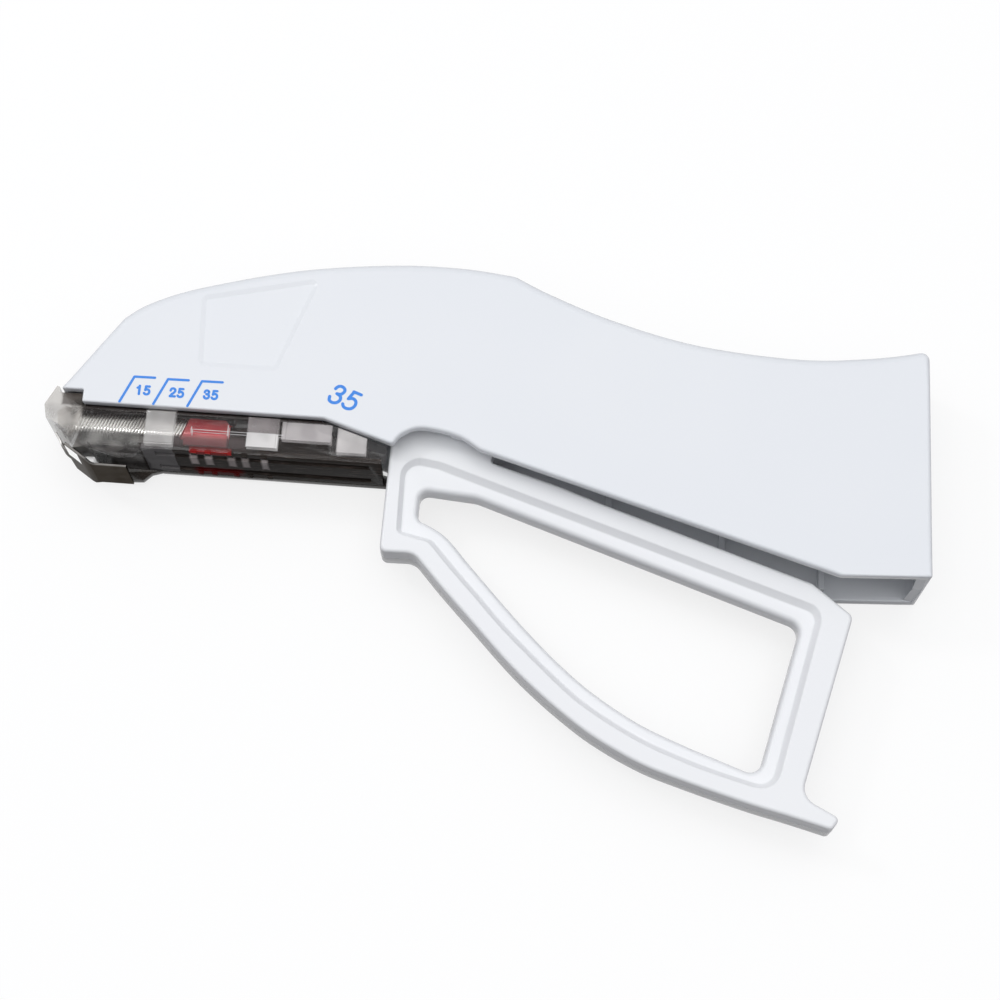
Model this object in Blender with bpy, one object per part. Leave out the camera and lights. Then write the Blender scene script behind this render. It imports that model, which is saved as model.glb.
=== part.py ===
# Skin stapler, disposable, wide staples: two moulded half shells, a clear staple cartridge
# under the nose, a looped trigger, and the rocker and former that fire the first staple.
# Sizes below are in millimetres and are turned into metres when a mesh is made.
# The stapler lies on its side. X runs along the cartridge (the muzzle is at low X), Y runs
# across it towards the back of the housing, Z is the thickness. The origin is the trigger's
# pivot axis, on the outer face of the lower (left) shell.

import math

import bmesh
import bpy
from mathutils import Vector

MM = 0.001

# Housing
WIDTH = 18.0
WALL = 2.0
NOSE_WALL = 1.2
PARTING_GAP = 0.2
EDGE_ROUND = 1.6
NOSE_FOOT = (-71.15, -0.3)
NOSE_TOP = (-61.35, 14.5)
BACK_CURVE = [(-57.5, 17.4), (-48.85, 21.1), (-31.3, 25.8), (-14.55, 28.1), (-2.0, 28.4)]
BACK_CREASE = (7.7, 27.5)
GRIP_CURVE = [(14.7, 24.25), (26.6, 19.95), (41.5, 16.45), (59.2, 15.15), (72.0, 16.25)]
GRIP_END = (82.35, 18.25)
REAR_TOP_ROUND = 1.4
NOSE_ROUND = 3.0
REAR_FOOT = (83.3, -24.0)
LOOP_SIDE_FOOT = (67.6, -24.8)
ARCH_REAR = (3.8, -6.4)
ARCH_CURVE = [(-0.4, -4.1), (-6.6, -3.1), (-10.0, -4.4)]
ARCH_FRONT = (-11.6, -6.5)
CARTRIDGE_EDGE = (-24.2, -2.5)
NOTCH = (-67.0, -0.2)
CAVITY_FLOOR = -45.0

# Shallow panel pressed into both side faces, its rim clockwise from the upper nose corner
PANEL_RIM = [(-48.2, 19.2), (-27.0, 24.2), (-33.3, 5.7), (-47.3, 5.7)]
PANEL_DEPTH = 0.5
PANEL_STEP = 0.85
PANEL_CORNER = 1.2

# Posts that join the shells, ribs and seats inside
POST_PLACES = [(-44.0, 16.8), (-24.0, 21.4), (4.0, 21.5), (40.0, 10.5), (75.5, 10.0), (75.5, -8.0)]
POST_RADIUS = 2.4
SPIGOT_RADIUS = 1.2
SPIGOT_LENGTH = 4.0
SPIGOT_GAP = 0.1
SOCKET_DEEPER = 0.5
RIB_THICK = 1.2
RIB_HEIGHT = 2.0
RIB_PLACES = [27.2, 48.0, 66.0]
RIB_END_INSET = 1.0
SEAT_Y = 18.4
SEAT_THICK = 1.2
SEAT_LENGTH = 8.0

# Pins
PIN_RADIUS = 1.5
PIN_CLEARANCE = 0.05
PIN_END_SKIN = 1.0
BOSS_RADIUS = 3.9
RUNNING_GAP = 0.3

# Trigger
TRIGGER_THICK = 7.6
TRIGGER_EYE = 4.4
TRIGGER_POCKET = 2.2
TRIGGER_STEP = 1.1
TRIGGER_BROW_ROUND = 3.0
TRIGGER_CHIN_ROUND = 1.2
TRIGGER_HEEL_ROUND = 1.5
TRIGGER_ANKLE_ROUND = 3.0
TRIGGER_TOE_ROUND = 0.7
EYE_ARC = (160.0, 100.0)
ARM_RIM = 0.4
ARM_ARC = (100.0, -70.0)
ARM_ROOT = (6.0, -4.8)
FORK_FRONT = 0.6
FORK_ROOT = (7.0, -1.6)
FORK_CLEAR = (30.0, 12.0)
TRIGGER_TOP = [(5.7, -6.8), (26.4, -13.2), (63.4, -25.0)]
TRIGGER_HEEL = (70.4, -30.4)
TRIGGER_ANKLE = (62.2, -62.6)
TRIGGER_TOE = (69.2, -65.9)
TRIGGER_TOE_TIP = (67.8, -68.0)
TRIGGER_SOLE = [(60.6, -66.2), (53.3, -64.5), (42.5, -61.5), (34.9, -59.0), (27.0, -55.1),
                (21.0, -51.1), (15.5, -46.8), (10.7, -42.5), (4.3, -36.0), (-1.5, -30.1)]
SOLE_END = (-6.5, -24.6)
TRIGGER_CHIN = (-12.6, -24.7)
TRIGGER_FRONT = (-12.3, -1.5)
LOOP_TOP_FRONT = (-6.4, -12.4)
LOOP_TOP_BEND = (3.7, -13.2)
LOOP_TOP_REAR = (61.7, -32.3)
LOOP_FOOT = (55.3, -59.4)
LOOP_SOLE = [(48.8, -57.1), (42.2, -54.8), (34.4, -51.6), (26.4, -46.9), (20.4, -42.3),
             (14.9, -37.3), (10.0, -32.4), (3.5, -25.6), (-1.5, -20.4)]
LOOP_CHIN = (-6.5, -17.8)
LOOP_FRONT_ROUND = 1.6
LOOP_REAR_ROUND = 2.2
LAND_TOP_FRONT = (-10.15, -5.9)
LAND_TOP_BEND = (-2.5, -6.6)
LAND_TOP_REAR = (63.6, -28.2)
LAND_FOOT = (58.5, -62.6)
LAND_SOLE = [(48.6, -60.2), (42.1, -58.2), (34.5, -55.3), (26.5, -51.0), (20.6, -46.8),
             (10.3, -37.6), (3.9, -31.0), (0.1, -27.1)]
LAND_NECK = (-4.2, -22.4)
LAND_CHIN = (-9.9, -21.2)
LAND_FRONT_ROUND = 3.5
LAND_REAR_ROUND = 3.0
LAND_FOOT_ROUND = 3.6
LAND_CHIN_ROUND = 1.4

# Rocker between trigger and former
LEVER_PIVOT = (-7.5, 14.0)
LEVER_THICK = 2.8
LEVER_EYE = 3.8
LEVER_SIDE_GAP = 0.3
DRIVE_PIN = (20.4, 3.0)
DRIVE_PIN_RADIUS = 1.2
DRIVE_EYE = 3.1
DRIVE_SLOT_TRAVEL = 2.4
DRIVE_SLOT_GAP = 0.15
LEVER_TIP = (-60.6, 9.6)
LUG_RADIUS = 1.0
LUG_GAP = 0.2
LUG_TRAVEL = 4.1
LUG_RIM = 0.15
LEVER_BEAM_START = 6.0
LEVER_BEAM_LOW = 1.7
LEVER_BEAM_HIGH = 3.0
LEVER_TIP_TOP = (1.2, 1.9)
LEVER_BELLY = [(-5.0, -4.2), (3.0, -4.4)]
LEVER_SPRING_STEP = 1.4
TAIL_ARC = (230.0, 410.0)
BEAM_POCKETS = [[(-50.5, 8.9), (-50.5, 11.4), (-31.0, 14.2), (-31.0, 9.4)],
                [(-29.6, 9.5), (-29.6, 14.4), (-13.6, 16.4), (-13.6, 10.6)]]
BEAM_POCKET_DEPTH = 0.7

# Staples
STAPLE_COUNT = 35
STAPLE_PITCH = 0.565
STAPLE_WIRE = 0.25
STAPLE_WIDTH = 7.0
STAPLE_LEG = 3.9
STAPLE_CORNER = 0.55
STAPLE_LEAN = math.radians(18.0)
FIRST_STAPLE = (-68.2, -2.5)

# Former
FORMER_THICK = 0.52
FORMER_WIDTH = 6.8
FORMER_FOOT = 2.1
FORMER_BEND = 7.6
FORMER_EAR_LOW = 12.0
FORMER_TOP = 15.7
FORMER_EAR_THICK = 1.4
FORMER_EAR_INSET = 0.1
FORMER_NOTCH_WIDTH = 4.4
FORMER_NOTCH_HEIGHT = 2.4
FORMER_GUIDE = 0.45
FORMER_EAR_BEHIND = 0.2
FORMER_EAR_RIM = 1.0

# Cartridge
CARTRIDGE_WIDTH = 15.0
COVER_WALL = 1.3
COVER_TOP = -0.9
COVER_ROOF = 1.0
COVER_FOOT = -9.4
COVER_REAR = -12.8
MUZZLE_TOP = [(-71.65, 0.5), (-72.1, 0.6)]
MUZZLE_FRONT = [(-73.9, -3.0), (-73.3, -5.5), (-70.7, -6.6)]
MUZZLE_UNDER = [(-67.9, -9.2), (-65.6, -10.2), (-60.1, -11.6), (-57.3, -11.4), (-55.9, -10.0)]
MUZZLE_REAR = -54.0
MUZZLE_ROOM = [(-72.3, -3.0), (-71.9, -5.0), (-71.9, -9.0)]
MUZZLE_ROOM_TOP = (-71.2, -1.6)
MUZZLE_DEEP = -6.8
ROOF_STEP = 1.5
SIDE_PADS = [(-55.6, -50.5), (-37.2, -32.3)]
SIDE_SEAMS = [(-31.2, -30.6), (-22.7, -21.4), (-16.5, -15.9)]
PAD_RAISE = 0.15
PAD_FOOT = -8.7
LEDGE_HEIGHT = 0.45
LEDGE_RAISE = 0.2
UNDER_LUGS = [-46.8, -44.3, -40.3, -37.8, -34.3]
UNDER_LUG = (1.0, 0.35, 0.9)
UNDER_GROOVE = (2.4, 4.4)
UNDER_GROOVE_DEPTH = 0.35
BASE_FLOOR = 1.0
RAIL_WIDTH = 5.4
RAIL_SLOT = 3.6
RAIL_TOP = -3.05
RAIL_REAR_TOP = -5.1
RAIL_END = -23.4
THROAT_GAP = 0.3

# Follower and its spring
FOLLOWER_LENGTH = 7.4
FOLLOWER_FOOT = -6.4
FOLLOWER_RISE = 0.35
FOLLOWER_GAP = 0.1
FOLLOWER_WIDTH = 6.8
FOLLOWER_CHAMFER = (0.9, 1.0)
FOLLOWER_TONGUE = 3.6
FOLLOWER_SHOE_FOOT = -8.1
FOLLOWER_SHOE_HALF = 5.6
SPRING_AXIS_Y = -6.4
FOLLOWER_SPRING_RADIUS = 1.3
FOLLOWER_SPRING_WIRE = 0.2
FOLLOWER_SPRING_TURNS = 19

# Anvil and ejector
ANVIL_THICK = 0.7
ANVIL_TONGUE_WIDTH = 4.0
ANVIL_BASE_WIDTH = 9.4
ANVIL_OUTER = [(-72.7, -6.2), (-71.0, -8.9), (-66.4, -12.0), (-65.0, -12.7), (-58.6, -12.7)]
ANVIL_TONGUE_END = -66.6
EJECTOR_WIDTH = 2.0
EJECTOR_THICK = 0.25
EJECTOR_OFFSET = 0.72
EJECTOR_FOOT = -6.2
EJECTOR_TOP = -1.0

# Return spring of the trigger
RETURN_SPRING_X = 14.0
RETURN_SPRING_RADIUS = 2.2
RETURN_SPRING_WIRE = 0.35
RETURN_SPRING_TURNS = 7
RETURN_PAD_Y = 8.2
RETURN_PAD_RIM = 0.8

MID = WIDTH / 2
HALF_CAVITY = MID - WALL
LEAN_SIN = math.sin(STAPLE_LEAN)
LEAN_COS = math.cos(STAPLE_LEAN)


def clear_scene():
    """Remove everything the start-up file brought."""
    for leftover in list(bpy.data.objects):
        bpy.data.objects.remove(leftover, do_unlink=True)


def material(name, colour, roughness, metallic=0.0, alpha=1.0):
    """Principled material with one colour."""
    made = bpy.data.materials.new(name)
    made.use_nodes = True
    shader = made.node_tree.nodes["Principled BSDF"]
    shader.inputs["Base Color"].default_value = (*colour, 1.0)
    shader.inputs["Roughness"].default_value = roughness
    shader.inputs["Metallic"].default_value = metallic
    shader.inputs["Alpha"].default_value = alpha
    return made


def arc(centre, radius, start, end, steps):
    """Points on a circle from the start angle to the end angle, in degrees."""
    points = []
    for step in range(steps + 1):
        angle = math.radians(start + (end - start) * step / steps)
        points.append((centre[0] + radius * math.cos(angle), centre[1] + radius * math.sin(angle)))
    return points


def circle(centre, radius, sides=24):
    """Closed circle outline."""
    return arc(centre, radius, 0.0, 360.0, sides)[:-1]


def smooth(points, steps=4):
    """Catmull-Rom curve through the points, with the ends kept."""
    ends = [points[0]] + list(points) + [points[-1]]
    curve = []
    for k in range(1, len(ends) - 2):
        before, here, there, after = ends[k - 1], ends[k], ends[k + 1], ends[k + 2]
        for step in range(steps):
            t = step / steps
            curve.append(tuple(
                0.5 * (2 * b + (c - a) * t + (2 * a - 5 * b + 4 * c - d) * t * t
                       + (3 * b - a - 3 * c + d) * t ** 3)
                for a, b, c, d in zip(before, here, there, after)))
    curve.append(tuple(points[-1]))
    return curve


def fillet(before, corner, after, radius, steps=4):
    """Arc of the given radius that rounds one corner between two straight edges."""
    corner = Vector(corner)
    to_before = (Vector(before) - corner).normalized()
    to_after = (Vector(after) - corner).normalized()
    half = to_before.angle(to_after) / 2
    run = radius / math.tan(half)
    centre = corner + (to_before + to_after).normalized() * (radius / math.sin(half))
    start = corner + to_before * run - centre
    end = corner + to_after * run - centre
    turn = start.angle_signed(end)
    points = []
    for step in range(steps + 1):
        angle = -turn * step / steps
        points.append((centre.x + start.x * math.cos(angle) - start.y * math.sin(angle),
                       centre.y + start.x * math.sin(angle) + start.y * math.cos(angle)))
    return points


def offset_path(points, distance):
    """Open path moved sideways, to the right of its direction for a positive distance."""
    moved = []
    for k, point in enumerate(points):
        first = Vector(points[max(k - 1, 0)])
        last = Vector(points[min(k + 1, len(points) - 1)])
        here = Vector(point)
        into = (here - first).normalized() if k > 0 else (last - here).normalized()
        out = (last - here).normalized() if k < len(points) - 1 else into
        side_in = Vector((into.y, -into.x))
        side_out = Vector((out.y, -out.x))
        mitre = (side_in + side_out).normalized()
        moved.append(tuple(here + mitre * (distance / max(mitre.dot(side_in), 0.5))))
    return moved


def offset_loop(points, distance):
    """Closed outline moved outward (it runs anticlockwise) by the distance."""
    path = [points[-1]] + list(points) + [points[0]]
    return offset_path(path, distance)[1:-1]


def leaned(along, behind, shift=0.0):
    """Point in a staple's own frame: up along its legs, behind its plane, and down the row."""
    return (FIRST_STAPLE[0] + shift + along * LEAN_SIN + behind * LEAN_COS,
            FIRST_STAPLE[1] + along * LEAN_COS - behind * LEAN_SIN)


def new_object(name, mesh_data, origin=(0.0, 0.0, 0.0)):
    """Object from a finished bmesh in millimetres, with its origin at the given place."""
    bmesh.ops.translate(mesh_data, verts=mesh_data.verts, vec=-Vector(origin))
    bmesh.ops.scale(mesh_data, verts=mesh_data.verts, vec=(MM, MM, MM))
    bmesh.ops.recalc_face_normals(mesh_data, faces=mesh_data.faces)
    mesh = bpy.data.meshes.new(name)
    mesh_data.to_mesh(mesh)
    mesh_data.free()
    made = bpy.data.objects.new(name, mesh)
    made.location = Vector(origin) * MM
    bpy.context.scene.collection.objects.link(made)
    return made


def prism_mesh(outline, low, high):
    """Bmesh of an outline in XY extruded from low to high in Z."""
    mesh_data = bmesh.new()
    bottom = [mesh_data.verts.new((x, y, low)) for x, y in outline]
    top = [mesh_data.verts.new((x, y, high)) for x, y in outline]
    count = len(outline)
    mesh_data.faces.new(bottom)
    mesh_data.faces.new(top)
    for k in range(count):
        after = (k + 1) % count
        mesh_data.faces.new((bottom[k], bottom[after], top[after], top[k]))
    return mesh_data


def prism(name, outline, low, high, origin=(0.0, 0.0, 0.0)):
    """Object of an outline in XY extruded in Z."""
    return new_object(name, prism_mesh(outline, low, high), origin)


def mid_prism(name, outline, width, origin=(0.0, 0.0, 0.0)):
    """Prism centred on the stapler's middle plane."""
    return prism(name, outline, MID - width / 2, MID + width / 2, origin)


def side_prism(name, side, outline, near, far):
    """Prism between two distances from the middle plane, on the side +1 (right) or -1 (left)."""
    ends = sorted((MID + side * near, MID + side * far))
    return prism(name, outline, ends[0], ends[1])


def combine(target, tool, operation):
    """Boolean modifier on the target; the tool stays hidden."""
    change = target.modifiers.new(operation.lower(), "BOOLEAN")
    change.operation = operation
    change.solver = "EXACT"
    change.object = tool
    tool.hide_render = True
    tool.display_type = "WIRE"


def cut(target, tool):
    """Take the tool's volume out of the target."""
    combine(target, tool, "DIFFERENCE")


def join(target, tool):
    """Add the tool's volume to the target."""
    combine(target, tool, "UNION")


def finish(target, paint, smooth_angle=30.0):
    """Material and smooth shading of a finished piece."""
    target.data.materials.append(paint)
    target.data.shade_smooth()
    target.data.set_sharp_from_angle(angle=math.radians(smooth_angle))


def box_outline(low_x, low_y, high_x, high_y):
    """Rectangle outline."""
    return [(low_x, low_y), (high_x, low_y), (high_x, high_y), (low_x, high_y)]


def swept_wire(name, path, radius, sides, origin=(0.0, 0.0, 0.0)):
    """Closed round wire along a path of 3-D points, with flat ends."""
    mesh_data = bmesh.new()
    points = [Vector(point) for point in path]
    tangents = []
    for k in range(len(points)):
        ahead = points[min(k + 1, len(points) - 1)] - points[max(k - 1, 0)]
        tangents.append(ahead.normalized())
    across = tangents[0].orthogonal().normalized()
    rings = []
    for point, tangent in zip(points, tangents):
        across = (across - tangent * across.dot(tangent)).normalized()
        other = tangent.cross(across)
        ring = []
        for side in range(sides):
            angle = 2 * math.pi * side / sides
            ring.append(mesh_data.verts.new(
                point + (across * math.cos(angle) + other * math.sin(angle)) * radius))
        rings.append(ring)
    for first, second in zip(rings, rings[1:]):
        for side in range(sides):
            after = (side + 1) % sides
            mesh_data.faces.new((first[side], first[after], second[after], second[side]))
    mesh_data.faces.new(rings[0])
    mesh_data.faces.new(rings[-1])
    return new_object(name, mesh_data, origin)


def coil_path(start, end, radius, turns, per_turn=10):
    """Helix from start to end along X or Y."""
    start = Vector(start)
    axis = (Vector(end) - start)
    length = axis.length
    axis.normalize()
    across = Vector((0.0, 0.0, 1.0))
    other = axis.cross(across)
    points = []
    count = int(turns * per_turn)
    for k in range(count + 1):
        share = k / count
        angle = 2 * math.pi * turns * share
        points.append(start + axis * (length * share)
                      + (across * math.cos(angle) + other * math.sin(angle)) * radius)
    return points


def back_path(rear_round):
    """Housing outline from the nose foot over the back to the rear foot."""
    nose_corner = fillet(NOSE_FOOT, NOSE_TOP, BACK_CURVE[0], NOSE_ROUND, 3)
    crown = smooth(BACK_CURVE + [BACK_CREASE], 3)
    grip = smooth([BACK_CREASE] + GRIP_CURVE + [GRIP_END], 3)[1:-1]
    rear_corner = [GRIP_END]
    if rear_round:
        rear_corner = fillet(grip[-1], GRIP_END, REAR_FOOT, rear_round, 3)
    return [NOSE_FOOT] + nose_corner + crown + grip + rear_corner + [REAR_FOOT]


def lower_path():
    """Housing outline from the rear foot along the lower edges to the nose foot."""
    arch = smooth([ARCH_REAR] + ARCH_CURVE + [ARCH_FRONT], 3)
    return [LOOP_SIDE_FOOT] + arch + [CARTRIDGE_EDGE, (NOTCH[0], CARTRIDGE_EDGE[1]), NOTCH]


def cavity_outline():
    """Inside of the shells: the back path moved in by the walls, open below."""
    inner = offset_path(back_path(0.0), WALL)
    nose = offset_path([NOSE_FOOT, NOSE_TOP], NOSE_WALL)
    slope = Vector(nose[1]) - Vector(nose[0])
    foot = tuple(Vector(nose[0]) - slope * 0.1)
    inner = [point for point in inner if point[0] > nose[1][0] + 0.8]
    below = [(inner[-1][0], CAVITY_FLOOR), (NOSE_FOOT[0] - 8.0, CAVITY_FLOOR),
             (NOSE_FOOT[0] - 8.0, foot[1])]
    return [foot, nose[1]] + inner + below


def nose_guide_outline():
    """Groove inside the nose slope that lets the former's top pass."""
    outer = offset_path([NOSE_FOOT, NOSE_TOP], NOSE_WALL - FORMER_GUIDE)
    inner = offset_path([NOSE_FOOT, NOSE_TOP], NOSE_WALL + 1.0)
    return [outer[0], outer[1], inner[1], inner[0]]


def shell_blank(name, side):
    """Outer form of one half shell, its edges rounded."""
    back = back_path(REAR_TOP_ROUND)
    outline = back + lower_path()
    inner_z = MID + side * PARTING_GAP / 2
    outer_z = MID + side * MID
    blank = prism_mesh(outline, inner_z, outer_z)
    blank.verts.ensure_lookup_table()
    count = len(outline)
    outer = [blank.verts[count + k] for k in range(count)]
    back_count = len(back)
    upper = []
    for first, second in zip(outer[:back_count], outer[1:back_count]):
        upper.append(blank.edges.get((first, second)))
    bmesh.ops.recalc_face_normals(blank, faces=blank.faces)
    bmesh.ops.bevel(blank, geom=upper, offset=EDGE_ROUND, segments=3, profile=0.5,
                    affect="EDGES", clamp_overlap=True)
    return new_object(name, blank)


def slanted_pocket_tool(side, rim, half, depth, wall):
    """Pocket in a side face whose wall slants from the rim (anticlockwise) down to the floor."""
    floor = offset_loop(rim, -wall)
    above = offset_loop(rim, wall / depth)
    rings = [(floor, half - depth), (rim, half), (above, half + 1.0)]
    mesh_data = bmesh.new()
    levels = [[mesh_data.verts.new((x, y, MID + side * height)) for x, y in ring]
              for ring, height in rings]
    mesh_data.faces.new(levels[0])
    mesh_data.faces.new(levels[-1])
    for low, high in zip(levels, levels[1:]):
        for k in range(len(low)):
            after = (k + 1) % len(low)
            mesh_data.faces.new((low[k], low[after], high[after], high[k]))
    return new_object("pocket_tool", mesh_data)


def panel_rim():
    """Rim of the side panel with rounded corners, anticlockwise."""
    clockwise = []
    for k, corner in enumerate(PANEL_RIM):
        after = PANEL_RIM[(k + 1) % len(PANEL_RIM)]
        clockwise += fillet(PANEL_RIM[k - 1], corner, after, PANEL_CORNER, 3)
    return clockwise[::-1]


def shell(name, side, paint):
    """Half shell with its bosses, joining posts, ribs and seats."""
    body = shell_blank(name, side)
    cut(body, side_prism("cavity_tool", side, cavity_outline(), -1.0, HALF_CAVITY))
    guide_half = FORMER_WIDTH / 2 + RUNNING_GAP
    cut(body, side_prism("guide_tool", side, nose_guide_outline(), -1.0, guide_half))
    cut(body, slanted_pocket_tool(side, panel_rim(), MID, PANEL_DEPTH, PANEL_STEP))

    sunk = HALF_CAVITY + WALL / 2
    trigger_side = TRIGGER_THICK / 2 + RUNNING_GAP
    lever_side = LEVER_THICK / 2 + RUNNING_GAP
    for centre, near in (((0.0, 0.0), trigger_side), (LEVER_PIVOT, lever_side)):
        join(body, side_prism("boss_tool", side, circle(centre, BOSS_RADIUS), near, sunk))
        hole = circle(centre, PIN_RADIUS + PIN_CLEARANCE)
        cut(body, side_prism("pin_hole_tool", side, hole, -1.0, MID - PIN_END_SKIN))

    for place in POST_PLACES:
        post = circle(place, POST_RADIUS, 16)
        join(body, side_prism("post_tool", side, post, PARTING_GAP / 2, sunk))
        if side > 0:
            socket = circle(place, SPIGOT_RADIUS + SPIGOT_GAP, 16)
            cut(body, side_prism("socket_tool", side, socket, -1.0, SPIGOT_LENGTH + SOCKET_DEEPER))
        else:
            spigot = circle(place, SPIGOT_RADIUS, 16)
            join(body, side_prism("spigot_tool", side, spigot, -SPIGOT_LENGTH, sunk))

    seat = box_outline(RETURN_SPRING_X - SEAT_LENGTH / 2, SEAT_Y,
                       RETURN_SPRING_X + SEAT_LENGTH / 2, SEAT_Y + SEAT_THICK)
    join(body, side_prism("seat_tool", side, seat, PARTING_GAP / 2, sunk))

    for x in RIB_PLACES:
        share = (x - ARCH_REAR[0]) / (LOOP_SIDE_FOOT[0] - ARCH_REAR[0])
        low = ARCH_REAR[1] + (LOOP_SIDE_FOOT[1] - ARCH_REAR[1]) * share + RIB_END_INSET
        rib = box_outline(x - RIB_THICK / 2, low, x + RIB_THICK / 2, GRIP_CURVE[3][1] - RIB_END_INSET)
        join(body, side_prism("rib_tool", side, rib, HALF_CAVITY - RIB_HEIGHT, sunk))
    finish(body, paint)
    return body


def trigger_outline():
    """Outer outline of the trigger, anticlockwise from the eye over the arm to the toe."""
    slot_end = drive_slot_points()[1]
    eye_top = arc((0.0, 0.0), TRIGGER_EYE, *EYE_ARC, 4)
    arm_end = arc(slot_end, DRIVE_EYE + ARM_RIM, *ARM_ARC, 8)
    heel = fillet(TRIGGER_TOP[-1], TRIGGER_HEEL, TRIGGER_ANKLE, TRIGGER_HEEL_ROUND, 3)
    shoulder = fillet(TRIGGER_TOP[-2], TRIGGER_TOP[-1], TRIGGER_HEEL, TRIGGER_HEEL_ROUND, 3)
    ankle = fillet(TRIGGER_HEEL, TRIGGER_ANKLE, TRIGGER_TOE, TRIGGER_ANKLE_ROUND, 3)
    toe = fillet(TRIGGER_ANKLE, TRIGGER_TOE, TRIGGER_TOE_TIP, TRIGGER_TOE_ROUND, 3)
    tip = fillet(TRIGGER_TOE, TRIGGER_TOE_TIP, TRIGGER_SOLE[0], TRIGGER_TOE_ROUND, 3)
    sole = smooth(TRIGGER_SOLE, 3)
    chin = fillet(SOLE_END, TRIGGER_CHIN, TRIGGER_FRONT, TRIGGER_CHIN_ROUND, 3)
    brow = fillet(TRIGGER_CHIN, TRIGGER_FRONT, eye_top[0], TRIGGER_BROW_ROUND, 3)
    clockwise = (eye_top + arm_end + [ARM_ROOT] + TRIGGER_TOP[:-1] + shoulder + heel + ankle
                 + toe + tip + sole + [SOLE_END] + chin + brow)
    return clockwise[::-1]


def loop_outline():
    """Finger loop of the trigger, anticlockwise."""
    front_top = fillet(LOOP_CHIN, LOOP_TOP_FRONT, LOOP_TOP_BEND, LOOP_FRONT_ROUND, 3)
    rear_top = fillet(LOOP_TOP_BEND, LOOP_TOP_REAR, LOOP_FOOT, LOOP_REAR_ROUND, 4)
    foot = fillet(LOOP_TOP_REAR, LOOP_FOOT, LOOP_SOLE[0], LOOP_REAR_ROUND, 4)
    sole = smooth(LOOP_SOLE, 3)
    chin = fillet(LOOP_SOLE[-1], LOOP_CHIN, LOOP_TOP_FRONT, LOOP_FRONT_ROUND, 3)
    clockwise = front_top + [LOOP_TOP_BEND] + rear_top + foot + sole + chin
    return clockwise[::-1]


def land_outline():
    """Inner edge of the trigger's raised land, anticlockwise."""
    front_top = fillet(LAND_CHIN, LAND_TOP_FRONT, LAND_TOP_BEND, LAND_FRONT_ROUND, 4)
    rear_top = fillet(LAND_TOP_BEND, LAND_TOP_REAR, LAND_FOOT, LAND_REAR_ROUND, 4)
    foot = fillet(LAND_TOP_REAR, LAND_FOOT, LAND_SOLE[0], LAND_FOOT_ROUND, 4)
    sole = smooth(LAND_SOLE + [LAND_NECK], 3)
    chin = fillet(LAND_NECK, LAND_CHIN, LAND_TOP_FRONT, LAND_CHIN_ROUND, 3)
    clockwise = front_top + [LAND_TOP_BEND] + rear_top + foot + sole + chin
    return clockwise[::-1]


def drive_slot_points():
    """Centres of the two ends of the slot that the drive pin runs in."""
    reach = Vector(DRIVE_PIN)
    along = reach.normalized()
    return tuple(reach - along * DRIVE_SLOT_GAP), tuple(reach + along * DRIVE_SLOT_TRAVEL)


def stadium(first, second, radius, steps=8):
    """Outline of a slot between two end centres."""
    run = Vector(second) - Vector(first)
    angle = math.degrees(math.atan2(run.y, run.x))
    return (arc(second, radius, angle - 90.0, angle + 90.0, steps)
            + arc(first, radius, angle + 90.0, angle + 270.0, steps))


def trigger(paint):
    """Looped trigger with a stepped inner band, its eye and the forked arm above it."""
    body = mid_prism("trigger", trigger_outline(), TRIGGER_THICK, (0.0, 0.0, MID))
    cut(body, mid_prism("loop_tool", loop_outline(), TRIGGER_THICK + 2.0))
    for side in (1, -1):
        cut(body, slanted_pocket_tool(side, land_outline(), TRIGGER_THICK / 2, TRIGGER_POCKET,
                                      TRIGGER_STEP))
    fork = [(FORK_FRONT, TRIGGER_EYE), FORK_ROOT, (FORK_CLEAR[0], FORK_ROOT[1]), FORK_CLEAR,
            (FORK_FRONT, FORK_CLEAR[1])]
    cut(body, mid_prism("fork_tool", fork, LEVER_THICK + 2 * LEVER_SIDE_GAP))
    first, second = drive_slot_points()
    slot = stadium(first, second, DRIVE_PIN_RADIUS + DRIVE_SLOT_GAP)
    cut(body, mid_prism("drive_slot_tool", slot, TRIGGER_THICK + 2.0))
    eye = circle((0.0, 0.0), PIN_RADIUS + PIN_CLEARANCE)
    cut(body, mid_prism("eye_tool", eye, TRIGGER_THICK + 2.0))
    finish(body, paint)
    return body


def pin(name, centre, radius, width, paint):
    """Plain steel pin across the middle plane."""
    made = mid_prism(name, circle(centre, radius), width, (centre[0], centre[1], MID))
    finish(made, paint)
    return made


def lever_outline():
    """Rocker outline: front beam, eye, tail and spring pad."""
    tip_x, tip_y = LEVER_TIP
    eye_x, eye_y = LEVER_PIVOT
    pad = RETURN_SPRING_RADIUS + RETURN_PAD_RIM
    lower = arc(LEVER_TIP, LUG_RADIUS + LUG_RIM, 120.0, 240.0, 5)
    lower.append((tip_x + LEVER_BEAM_START, tip_y - LEVER_BEAM_LOW))
    tail_low = arc(DRIVE_PIN, DRIVE_EYE, *TAIL_ARC, 10)
    top = [(RETURN_SPRING_X + pad, RETURN_PAD_Y), (RETURN_SPRING_X - pad, RETURN_PAD_Y),
           (RETURN_SPRING_X - pad, RETURN_PAD_Y + LEVER_SPRING_STEP)]
    eye_arc = arc(LEVER_PIVOT, LEVER_EYE, 20.0, 120.0, 6)
    upper = [(tip_x + LEVER_BEAM_START, tip_y + LEVER_BEAM_HIGH),
             (tip_x + LEVER_TIP_TOP[0], tip_y + LEVER_TIP_TOP[1])]
    belly = [(eye_x + x, eye_y + y) for x, y in LEVER_BELLY]
    return lower + belly + tail_low + top + eye_arc + upper


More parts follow.
